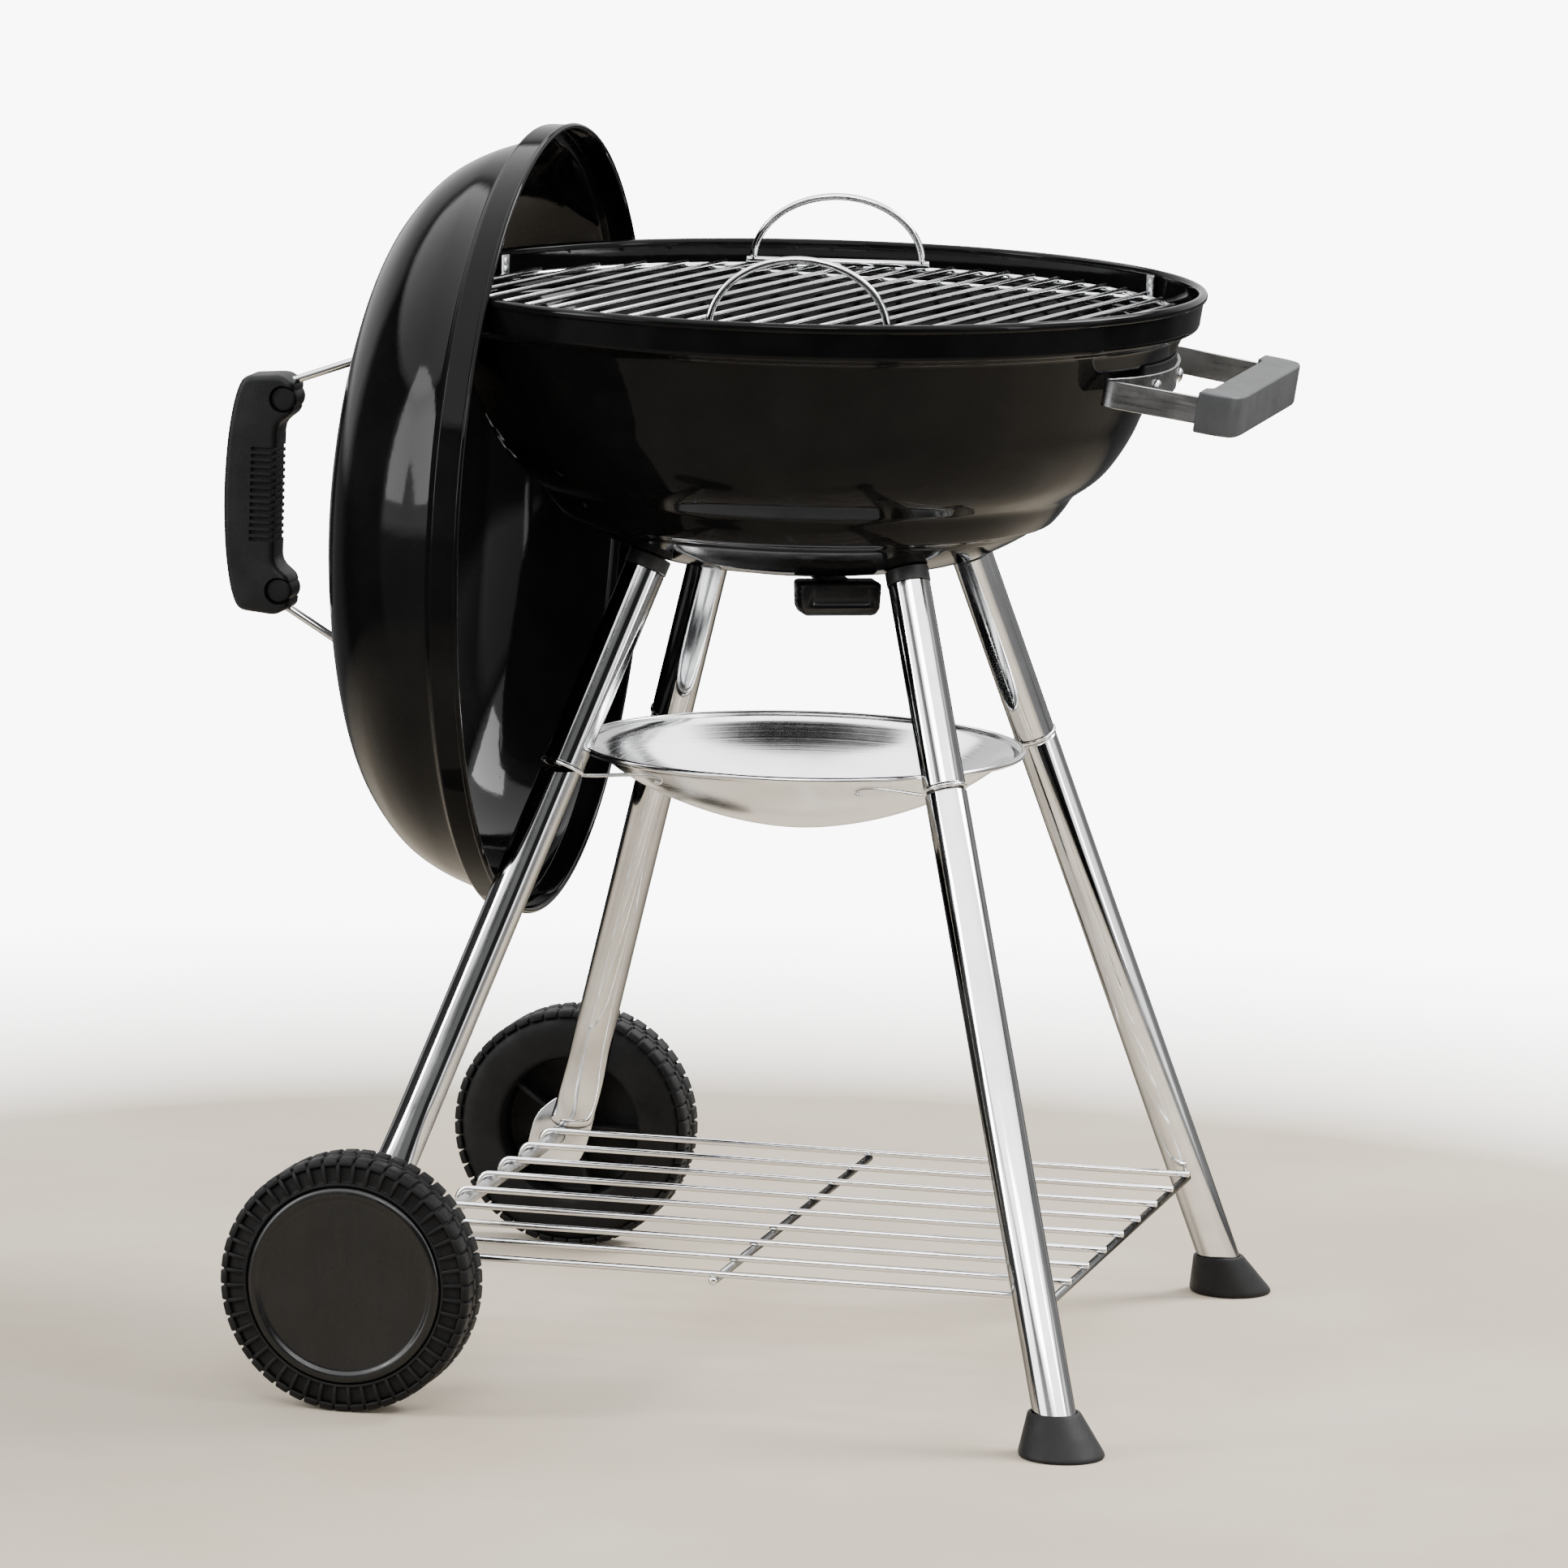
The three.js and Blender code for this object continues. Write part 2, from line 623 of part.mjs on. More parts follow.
// A flat grate: a ring, bars across it on top, and cross wires under the bars.
function makeGrate({ ringR, ringWire, z, wire: radius, pitch }, crossings) {
  const barZ = z + ringWire + radius - 1.2;
  const count = Math.floor((ringR - 8) / pitch);
  const pieces = [new THREE.TorusGeometry(ringR, ringWire, 5, 32).translate(0, 0, z)];
  for (let i = -count; i <= count; i++) {
    const half = Math.sqrt(ringR ** 2 - (i * pitch) ** 2) + 0.5;
    pieces.push(bar([i * pitch, -half, barZ], [i * pitch, half, barZ], radius, 4));
  }
  for (const y of crossings) {
    const half = Math.sqrt(ringR ** 2 - y ** 2) - 1;
    pieces.push(bar([-half, y, z + 0.6], [half, y, z + 0.6], radius, 4));
  }
  return join(pieces);
}

// An arched wire handle with a straight foot wire that lies across the bars.
function makeArch() {
  const footZ = GRATE.z + GRATE.ringWire + 2 * GRATE.wire - 1.2 + GAP + ARCH.wire;
  const arch = Array.from({ length: 13 }, (_, i) => {
    const angle = (i * Math.PI) / 12;
    return [-ARCH.half * Math.cos(angle), 0, footZ + (ARCH.rise - 5) * Math.sin(angle)];
  });
  const foot = bar([-ARCH.half - 4, 0, footZ], [ARCH.half + 4, 0, footZ], ARCH.wire);
  return join([wire(arch, ARCH.wire), foot]);
}

function addGrates(grill) {
  const grate = part(grill, "cooking_grate", makeGrate(GRATE, [-150, 150]), STEEL);
  grate.rotation.z = GRATE_TURN;
  for (const [name, [x, y]] of Object.entries(ARCH_PLACES)) {
    const arch = part(grill, `grate_handle_${name}`, makeArch(), CHROME);
    arch.position.set(x, y, 0);
    arch.rotation.z = ARCH.turn;
  }
  part(grill, "charcoal_grate", makeGrate(COAL, [-70, 70]), BLACK_STEEL);
}

// ---- Side handle ----

// The strap's centre line: round the bowl between its two arms, and across inside the grip.
function sideStrapLine() {
  const arm = [
    [SIDE.x + 4, 94.5],
    [SIDE.x + 7, 95],
    [SIDE.x + 57, 91],
    [SIDE.x + 66, 89.5],
    [SIDE.x + 70, 85],
  ];
  const back = arm.map(([x, y]) => [x, -y]).reverse();
  return [...arc([0, 0], SIDE.arcR, -25.3, 25.3, 12), ...arm, ...back];
}

// A flat strap bent into a closed loop, standing on its edge.
function makeSideStrap(thickness, height) {
  const line = sideStrapLine();
  const closed = [...line, line[0], line[1]];
  const [outer, inner] = [0.5, -0.5].map((share) => {
    const outline = offsetLine(closed, share * thickness).slice(1, -1);
    const shape = new THREE.Shape(outline.map(([x, y]) => new THREE.Vector2(x, y)));
    const slab = new THREE.ExtrudeGeometry(shape, { depth: height, bevelEnabled: false });
    return slab.translate(0, 0, -height / 2);
  });
  return cut(solid(outer), [inner]);
}

function addSideHandle(grill) {
  const handle = new THREE.Group();
  sideFrame.decompose(handle.position, handle.quaternion, handle.scale);
  grill.add(handle);

  const holes = Object.values(SIDE_BOLT_ANGLES).map((angle) =>
    bar([190, 0, 0], [225, 0, 0], 2.5 + GAP, 10).rotateZ(deg(angle)),
  );
  const strap = cut(makeSideStrap(SIDE.strap, 16), holes);
  part(handle, "side_handle_strap", strap, STEEL);

  // The block fills the room between the strap and the bowl's sloping wall.
  const faceR = SIDE.arcR - SIDE.strap / 2 - GAP;
  const ring = solid(tube(faceR, 190, -11, 13, ROUND_SIDES));
  const sector = solid(block([150, -48, -20], [260, 48, 20]));
  const room = solid(bowlRoom(1), sideFrame.clone().invert());
  const mount = cut(ring.intersect(sector).subtract(room), holes);
  part(handle, "side_handle_block", mount, BLACK_PLASTIC);

  for (const [name, angle] of Object.entries(SIDE_BOLT_ANGLES)) {
    const headX = SIDE.arcR + SIDE.strap / 2 + GAP + 0.2;
    const screw = bolt(4.5, 2.6, 2.5, 200, headX).rotateY(Math.PI / 2);
    part(handle, `side_handle_bolt_${name}`, screw, STEEL).rotation.z = deg(angle);
  }

  const { inner, outer, half, height } = SIDE_GRIP;
  const round = 3;
  const outline = new THREE.Shape();
  outline.moveTo(inner - 4, -half).lineTo(outer - 9, -half).lineTo(outer - 2, -half + 4);
  outline.lineTo(outer, -half + 12).lineTo(outer, half - 12).lineTo(outer - 2, half - 4);
  outline.lineTo(outer - 9, half).lineTo(inner - 4, half).lineTo(inner - 4, half - 20);
  outline.lineTo(inner, half - 24).lineTo(inner, -half + 24).lineTo(inner - 4, -half + 20);
  const grip = new THREE.ExtrudeGeometry(outline, {
    depth: height - 2 * round,
    bevelThickness: round,
    bevelSize: round,
    bevelOffset: -round,
    bevelSegments: 2,
  });
  grip.translate(0, 0, -height / 2 + round);
  const channel = makeSideStrap(SIDE.strap + 2 * GAP, 16 + 2 * GAP);
  part(handle, "side_handle_grip", solid(grip).subtract(channel), SIDE_GREY);
}

// ---- Lid ----

// In the lid's own frame Z runs from its rim to its crown, and X points up as it hangs.
const LID_WALL = [
  [LID.radius, 0],
  [LID.radius, 3.5],
  [235.2, 5],
  [235.2, 17],
  [227.5, 20],
  [223.5, 30],
  [219.5, 42],
  [213.5, 55],
  [205, 68],
  [192, 80],
  [177.5, 90],
  [157, 98],
  [133, 105],
  [107, 112],
  [80, 119],
  [57, 125],
  [30, 129],
  [0, 129.8],
];

// The height of the lid's outside at a radius, and the tilt of its surface there.
function domeAt(radius) {
  const i = LID_WALL.findIndex(([r]) => r < radius);
  const [outerR, outerZ] = LID_WALL[i - 1];
  const [innerR, innerZ] = LID_WALL[i];
  const slope = (innerZ - outerZ) / (outerR - innerR);
  return { z: outerZ + (outerR - radius) * slope, tilt: Math.atan(slope) };
}

// A frame on the far side of the dome, with Z along the dome's normal.
function lidVentFrame() {
  const { z, tilt } = domeAt(LID_VENT.reach);
  return new THREE.Matrix4()
    .makeTranslation(0, LID_VENT.reach, z)
    .multiply(new THREE.Matrix4().makeRotationX(-tilt));
}

const lidFrame = new THREE.Matrix4()
  .makeTranslation(LID.x, 0, LID.z)
  .multiply(new THREE.Matrix4().makeRotationZ(LID_YAW))
  .multiply(new THREE.Matrix4().makeRotationY(-Math.PI / 2 - LID_TILT));

function makeLid() {
  const inside = offsetLine(LID_WALL, SHEET).reverse();
  const shell = solid(revolve([...LID_WALL, ...inside], ROUND_SIDES));
  const hole = bar([LID_VENT.holeReach, 0, -12], [LID_VENT.holeReach, 0, 12], LID_VENT.radius, 12);
  const pin = bar([0, 0, -12], [0, 0, 12], 2.5 + GAP, 8);
  const vents = [...aroundZ(hole, LID_VENT.count), pin].map((g) => g.applyMatrix4(lidVentFrame()));
  return cut(shell, [...vents, wire(bailLine(), LID_BAIL.radius + GAP, 8)]);
}

// The bail's lean at one end, where it goes through the dome.
function bailLean(side) {
  const { footX, footZ, reachX, reachZ } = LID_BAIL;
  return Math.atan2(footX - reachX - side * GRIP_LIFT, reachZ - footZ);
}

// The bail's route: out of the dome, up into the grip, along it and back.
function bailLine() {
  const { footX, footZ, reachX, reachZ } = LID_BAIL;
  const half = (side) => [
    [side * (footX + 12 * Math.tan(bailLean(side))), 0, footZ - 12],
    [side * reachX + GRIP_LIFT, 0, reachZ],
    [side * 61 + GRIP_LIFT, 0, 180],
    [side * 54 + GRIP_LIFT, 0, 186],
    [side * 45 + GRIP_LIFT, 0, 187.5],
  ];
  return [...half(1), ...half(-1).reverse()];
}

function makeLidGrip() {
  const { half, outer, inner, lobe, width } = LID_GRIP;
  const round = 4;
  const side = [
    [0, outer],
    [36, outer - 2],
    [60, outer - 6],
    [half - 2, outer - 11],
    [half, lobe + 8],
    [half - 5, lobe],
    [50, lobe],
    [42, inner],
  ];
  const mirrored = side.slice(1).map(([x, z]) => [-x, z]);
  const outline = [...side, ...mirrored.reverse()].map(([x, z]) => new THREE.Vector2(x, z));
  const body = new THREE.ExtrudeGeometry(new THREE.Shape(outline), {
    depth: width - 2 * round,
    bevelThickness: round,
    bevelSize: round,
    bevelOffset: -round,
    bevelSegments: 1,
  });
  return body.rotateX(Math.PI / 2).translate(GRIP_LIFT, width / 2 - round, 0);
}

// The black inserts are short rounds across the inner corners of the grip.
function gripInsert(side, radius, width) {
  const x = side * INSERT.x + GRIP_LIFT;
  const z = LID_GRIP.lobe + 6.5;
  return bar([x, -width / 2, z], [x, width / 2, z], radius, 16);
}

// A strip inside the lid that reaches over the bowl's rim, in the layout frame.
function makeHook() {
  const line = [
    [-217.5, 694.8],
    [-229.1, 682.4],
    [-238.9, 668.6],
    [-243, 651],
    [-240, 645],
    [-236, 644.2],
    [HOOK.tipX - 2, 644.2],
    [HOOK.tipX, 642.2],
    [HOOK.tipX, HOOK.tipZ],
  ];
  const strip = new THREE.ExtrudeGeometry(stripShape(line, HOOK.thickness), {
    depth: HOOK.width,
    bevelEnabled: false,
  });
  return strip.rotateX(Math.PI / 2).translate(0, HOOK.width / 2, 0);
}

function addLid(grill) {
  const lid = new THREE.Group();
  lidFrame.decompose(lid.position, lid.quaternion, lid.scale);
  grill.add(lid);
  part(lid, "lid", makeLid(), ENAMEL);
  part(grill, "lid_hook", makeHook(), STEEL);

  const wireR = LID_BAIL.radius;
  part(lid, "lid_handle_bail", wire(bailLine(), wireR, 8), CHROME);
  const channel = wire(bailLine(), wireR + GAP, 8);
  const ends = { upper: 1, lower: -1 };
  const rooms = Object.values(ends).map((side) => gripInsert(side, INSERT.radius + GAP, 60));
  part(lid, "lid_handle_grip", cut(solid(makeLidGrip()), [channel, ...rooms]), LID_GREY);
  for (const [name, side] of Object.entries(ends)) {
    const insert = cut(solid(gripInsert(side, INSERT.radius, INSERT.width)), [channel]);
    part(lid, `lid_grip_insert_${name}`, insert, BLACK_PLASTIC);
    const nutTop = -NUT_RADIUS * Math.tan(bailLean(side) + domeAt(LID_BAIL.footX).tilt) - 1.8;
    const hexagon = bar([0, 0, nutTop - 4.2], [0, 0, nutTop], NUT_RADIUS);
    hexagon.rotateY(-side * bailLean(side)).translate(side * LID_BAIL.footX, 0, LID_BAIL.footZ);
    part(lid, `bail_nut_${name}`, cut(solid(hexagon), [channel]), STEEL);
  }

  const vent = new THREE.Group();
  lidVentFrame().decompose(vent.position, vent.quaternion, vent.scale);
  lid.add(vent);
  const plate = bar([0, 0, 0.8], [0, 0, 2], LID_VENT.plateR, 24);
  const tab = block([28, -7, 0.8], [29.2, 7, 13]);
  const hole = bar([LID_VENT.holeReach, 0, -2], [LID_VENT.holeReach, 0, 6], LID_VENT.radius, 12);
  const pin = bar([0, 0, -2], [0, 0, 6], 2.5 + GAP, 8);
  const turned = join([plate, tab.rotateZ(Math.PI / LID_VENT.count)]);
  const disc = cut(turned, [...aroundZ(hole, LID_VENT.count), pin]);
  part(vent, "lid_vent_plate", disc, STEEL);
  part(vent, "lid_vent_rivet", rivet(4.5, 1.6, 2.5, -2.1, 2 + GAP), STEEL);
}

// ---- Assembly ----

const grill = new THREE.Group();
grill.name = "kettle_grill";
addBowl(grill);
addDamper(grill);
addLegs(grill);
addWheels(grill);
addRack(grill);
addDish(grill);
addGrates(grill);
addSideHandle(grill);
addLid(grill);

// The origin is the bottom centre of the bounding box.
const bounds = new THREE.Box3().setFromObject(grill, true);
grill.position.x = -(bounds.min.x + bounds.max.x) / 2;

export default grill;
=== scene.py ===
"""Looks of a kettle charcoal grill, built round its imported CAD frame.

Shapes are drawn in millimetres from the axis of the bowl, as the CAD model draws them, and placed
in the frame by put(). Each detailed piece stands for one CAD node and rides on that node's body.
"""

import math

import bmesh
import bpy
from mathutils import Matrix, Vector
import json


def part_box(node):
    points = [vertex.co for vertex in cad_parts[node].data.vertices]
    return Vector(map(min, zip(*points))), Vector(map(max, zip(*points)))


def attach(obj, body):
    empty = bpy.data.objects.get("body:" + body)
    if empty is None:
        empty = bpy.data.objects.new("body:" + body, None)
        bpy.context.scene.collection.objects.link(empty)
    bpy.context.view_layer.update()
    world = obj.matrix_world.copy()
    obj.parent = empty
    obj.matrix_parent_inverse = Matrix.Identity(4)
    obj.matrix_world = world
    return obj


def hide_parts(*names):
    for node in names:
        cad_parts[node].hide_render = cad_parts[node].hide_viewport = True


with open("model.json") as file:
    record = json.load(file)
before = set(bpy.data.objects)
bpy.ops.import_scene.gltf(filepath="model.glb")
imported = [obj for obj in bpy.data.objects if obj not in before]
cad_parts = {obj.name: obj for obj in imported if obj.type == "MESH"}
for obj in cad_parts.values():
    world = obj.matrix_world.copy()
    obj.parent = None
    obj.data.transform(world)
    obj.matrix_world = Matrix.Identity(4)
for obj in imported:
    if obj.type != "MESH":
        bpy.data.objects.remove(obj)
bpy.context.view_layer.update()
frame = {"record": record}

MM = 0.001
BOWL_LOW, BOWL_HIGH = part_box("bowl")
CENTRE_X = (BOWL_LOW.x + BOWL_HIGH.x) / 2  # the bowl's axis in the frame
BODY_OF = {n: b for b, ns in frame["record"]["behaviour"]["bodies"].items() for n in ns}

# ---- Camera ----

CAMERA_PLACE = (1.49593, -6.20386, 1.34094)
CAMERA_YAW, CAMERA_PITCH, CAMERA_ROLL = -0.2322, 0.1557, 0.0243
CAMERA_LENS = 248.3


def add_camera():
    yaw, pitch, roll = CAMERA_YAW, CAMERA_PITCH, CAMERA_ROLL
    ahead = Vector(
        (math.sin(yaw) * math.cos(pitch), math.cos(yaw) * math.cos(pitch), -math.sin(pitch))
    )
    level = ahead.cross(Vector((0, 0, 1))).normalized()
    upright = level.cross(ahead)
    right = level * math.cos(roll) + upright * math.sin(roll)
    up = upright * math.cos(roll) - level * math.sin(roll)
    data = bpy.data.cameras.new("camera")
    data.lens = CAMERA_LENS
    camera = bpy.data.objects.new("camera", data)
    turn = Matrix((right, up, -ahead)).transposed().to_4x4()
    camera.matrix_world = Matrix.Translation(CAMERA_PLACE) @ turn
    bpy.context.scene.collection.objects.link(camera)
    bpy.context.scene.camera = camera


add_camera()

# ---- Shapes: each is a list of points and a list of faces, in millimetres ----

TOUCH = 1e-4  # points closer than this are one point

shift = Matrix.Translation


def turned(degrees, axis):
    return Matrix.Rotation(math.radians(degrees), 4, axis)


def moved(shape, matrix):
    points, faces = shape
    return [matrix @ Vector(p) for p in points], faces


def merged(shapes):
    points, faces = [], []
    for more_points, more_faces in shapes:
        start = len(points)
        points.extend(more_points)
        faces.extend([tuple(i + start for i in face) for face in more_faces])
    return points, faces


def turns(count):
    """Angles evenly round a circle."""
    return [2 * math.pi * i / count for i in range(count)]


def circle(radius, height, sides):
    return [(radius * math.cos(a), radius * math.sin(a), height) for a in turns(sides)]


def spun(count, shape, start=0.0):
    """Copies of a shape, evenly round Z."""
    return merged([moved(shape, Matrix.Rotation(start + a, 4, "Z")) for a in turns(count)])


def arc(centre, radius, start, end, steps):
    """Points on an arc, with its angles in degrees."""
    angles = [math.radians(start + (end - start) * i / steps) for i in range(steps + 1)]
    return [(centre[0] + radius * math.cos(a), centre[1] + radius * math.sin(a)) for a in angles]


def rounded(points, cut=math.inf, steps=4, closed=False):
    """A line with each corner drawn as a curve that starts at most cut before it.
    A point may carry its own cut as a last value after its coordinates, given as (point, cut)."""
    plain = [(Vector(p[0]), p[1]) if isinstance(p[0], tuple) else (Vector(p), cut) for p in points]
    count = len(plain)
    line = []
    for i, (here, reach) in enumerate(plain):
        if not closed and i in (0, count - 1):
            line.append(here)
            continue
        before, after = plain[i - 1][0], plain[(i + 1) % count][0]
        back, on = before - here, after - here
        a = here + back.normalized() * min(reach, back.length / 2)
        b = here + on.normalized() * min(reach, on.length / 2)
        for k in range(steps + 1):
            t = k / steps
            line.append(a * (1 - t) ** 2 + here * 2 * t * (1 - t) + b * t * t)
    clean = [line[0]]
    for p in line[1:]:
        if (p - clean[-1]).length > TOUCH:
            clean.append(p)
    if closed and (clean[0] - clean[-1]).length < TOUCH:
        clean.pop()
    return [tuple(p) for p in clean]


def offset(line, distance, closed=False):
    """A line in a plane moved sideways, to the left of its direction."""
    last = len(line) - 1
    result = []
    for i, p in enumerate(line):
        before = Vector(line[i - 1 if closed else max(i - 1, 0)])
        after = Vector(line[(i + 1) % len(line) if closed else min(i + 1, last)])
        along = (after - before).normalized()
        result.append((p[0] - along.y * distance, p[1] + along.x * distance))
    return result


def lathe(outline, sides=128):
    """A closed outline of (radius, height) turned round Z."""
    points, rows, faces = [], [], []
    for radius, height in outline:
        if radius < TOUCH:
            rows.append([len(points)])
            points.append((0, 0, height))
            continue
        rows.append(list(range(len(points), len(points) + sides)))
        points.extend(circle(radius, height, sides))
    for low, high in zip(rows, rows[1:] + rows[:1]):
        for i in range(sides):
            j = (i + 1) % sides
            if len(low) > 1 and len(high) > 1:
                faces.append((low[i], low[j], high[j], high[i]))
            elif len(high) > 1:
                faces.append((low[0], high[j], high[i]))
            elif len(low) > 1:
                faces.append((low[i], low[j], high[0]))
    return points, faces


def loft(rings, closed=False):
    """A skin through rings of equal count, with a face at both ends or joined end to end."""
    count = len(rings[0])
    points = [p for ring in rings for p in ring]
    faces = [] if closed else [tuple(range(count)), tuple(range(len(points) - count, len(points)))]
    for k in range(len(rings) if closed else len(rings) - 1):
        a, b = k * count, (k + 1) % len(rings) * count
        for i in range(count):
            j = (i + 1) % count
            faces.append((a + i, a + j, b + j, b + i))
    return points, faces


def wire(line, radius, sides=16, closed=False):
    """A round wire along a line of points, with its ends rounded off."""
    line = [Vector(p) for p in line]
    count = len(line)
    tangents = []
    for i in range(count):
        before = line[i - 1] if closed or i else line[0]
        after = line[(i + 1) % count] if closed or i < count - 1 else line[-1]
        tangents.append((after - before).normalized())
    side = tangents[0].orthogonal().normalized()
    rings = []
    for p, tangent in zip(line, tangents):
        side = (side - tangent * side.dot(tangent)).normalized()
        other = tangent.cross(side)
        rings.append([(p, side * math.cos(a) + other * math.sin(a), tangent) for a in turns(sides)])
    solid_rings = [[p + out * radius for p, out, _ in ring] for ring in rings]
    if closed:
        return loft(solid_rings, True)
    shrink = [(math.cos(math.radians(t)), 0.45 * math.sin(math.radians(t))) for t in (25, 50, 75)]
    start = [[p + out * radius * c - t * radius * s for p, out, t in rings[0]] for c, s in shrink]
    end = [[p + out * radius * c + t * radius * s for p, out, t in rings[-1]] for c, s in shrink]
    return loft(start[::-1] + solid_rings + end)


def bevelled(shape, width, segments=3, above=30):
    """A shape with its sharp edges rounded."""
    points, faces = shape
    work = bmesh.new()
    made = [work.verts.new(p) for p in points]
    for face in faces:
        work.faces.new([made[i] for i in face])
    bmesh.ops.remove_doubles(work, verts=work.verts, dist=TOUCH)
    bmesh.ops.recalc_face_normals(work, faces=work.faces)
    limit = math.radians(above)
    sharp = [e for e in work.edges if e.is_manifold and e.calc_face_angle(0) > limit]
    bmesh.ops.bevel(
        work, geom=sharp, offset=width, segments=segments, profile=0.5, affect="EDGES",
        clamp_overlap=True,
    )
    work.verts.index_update()
    result = [v.co.copy() for v in work.verts], [tuple(v.index for v in f.verts) for f in work.faces]
    work.free()
    return result


def prism(outline, low, high):
    """An outline in XY between two heights."""
    return loft([[(x, y, low) for x, y in outline], [(x, y, high) for x, y in outline]])


def block(low, high):
    outline = [(low[0], low[1]), (high[0], low[1]), (high[0], high[1]), (low[0], high[1])]
    return prism(outline, low[2], high[2])


def strip(line, thickness, width):
    """A flat strip along a line in XZ, centred on Y."""
    outline = offset(line, thickness / 2) + offset(line, -thickness / 2)[::-1]
    flat = prism(outline, -width / 2, width / 2)
    return bevelled(moved(flat, turned(90, "X")), 0.3, 2, 50)


def mesh_of(name, shape):
    data = bpy.data.meshes.new(name)
    points, faces = shape
    data.from_pydata([Vector(p) * MM for p in points], [], faces)
    work = bmesh.new()
    work.from_mesh(data)
    bmesh.ops.remove_doubles(work, verts=work.verts, dist=TOUCH * MM)
    bmesh.ops.recalc_face_normals(work, faces=work.faces)
    work.to_mesh(data)
    work.free()
    return data


def drilled(shape, cutters):
    """A shape less some closed cutters."""
    base = bpy.data.objects.new("base", mesh_of("base", shape))
    tool = bpy.data.objects.new("tool", mesh_of("tool", merged(cutters)))
    for o in (base, tool):
        bpy.context.scene.collection.objects.link(o)
    change = base.modifiers.new("cut", "BOOLEAN")
    change.object = tool
    change.operation = "DIFFERENCE"
    change.solver = "EXACT"
    result = base.evaluated_get(bpy.context.evaluated_depsgraph_get()).to_mesh()
    points = [v.co / MM for v in result.vertices]
    faces = [tuple(p.vertices) for p in result.polygons]
    for o in (base, tool):
        bpy.data.objects.remove(o)
    return points, faces


def put(node, shape, look, place=Matrix.Identity(4), crease=35):
    """Adds the detailed piece that stands for a CAD node, in a local frame given in millimetres."""
    data = mesh_of(node + "_look", shape)
    data.shade_smooth()
    data.set_sharp_from_angle(angle=math.radians(crease))
    data.materials.append(look)
    piece = bpy.data.objects.new(node + "_look", data)
    bpy.context.scene.collection.objects.link(piece)
    turn = place.to_3x3().to_4x4()
    origin = place.to_translation() * MM + Vector((CENTRE_X, 0, 0))
    piece.matrix_world = shift(origin) @ turn
    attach(piece, BODY_OF[node])
    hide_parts(node)
    return piece


# ---- Looks ----

NOISE_ROUGHNESS = 0.55

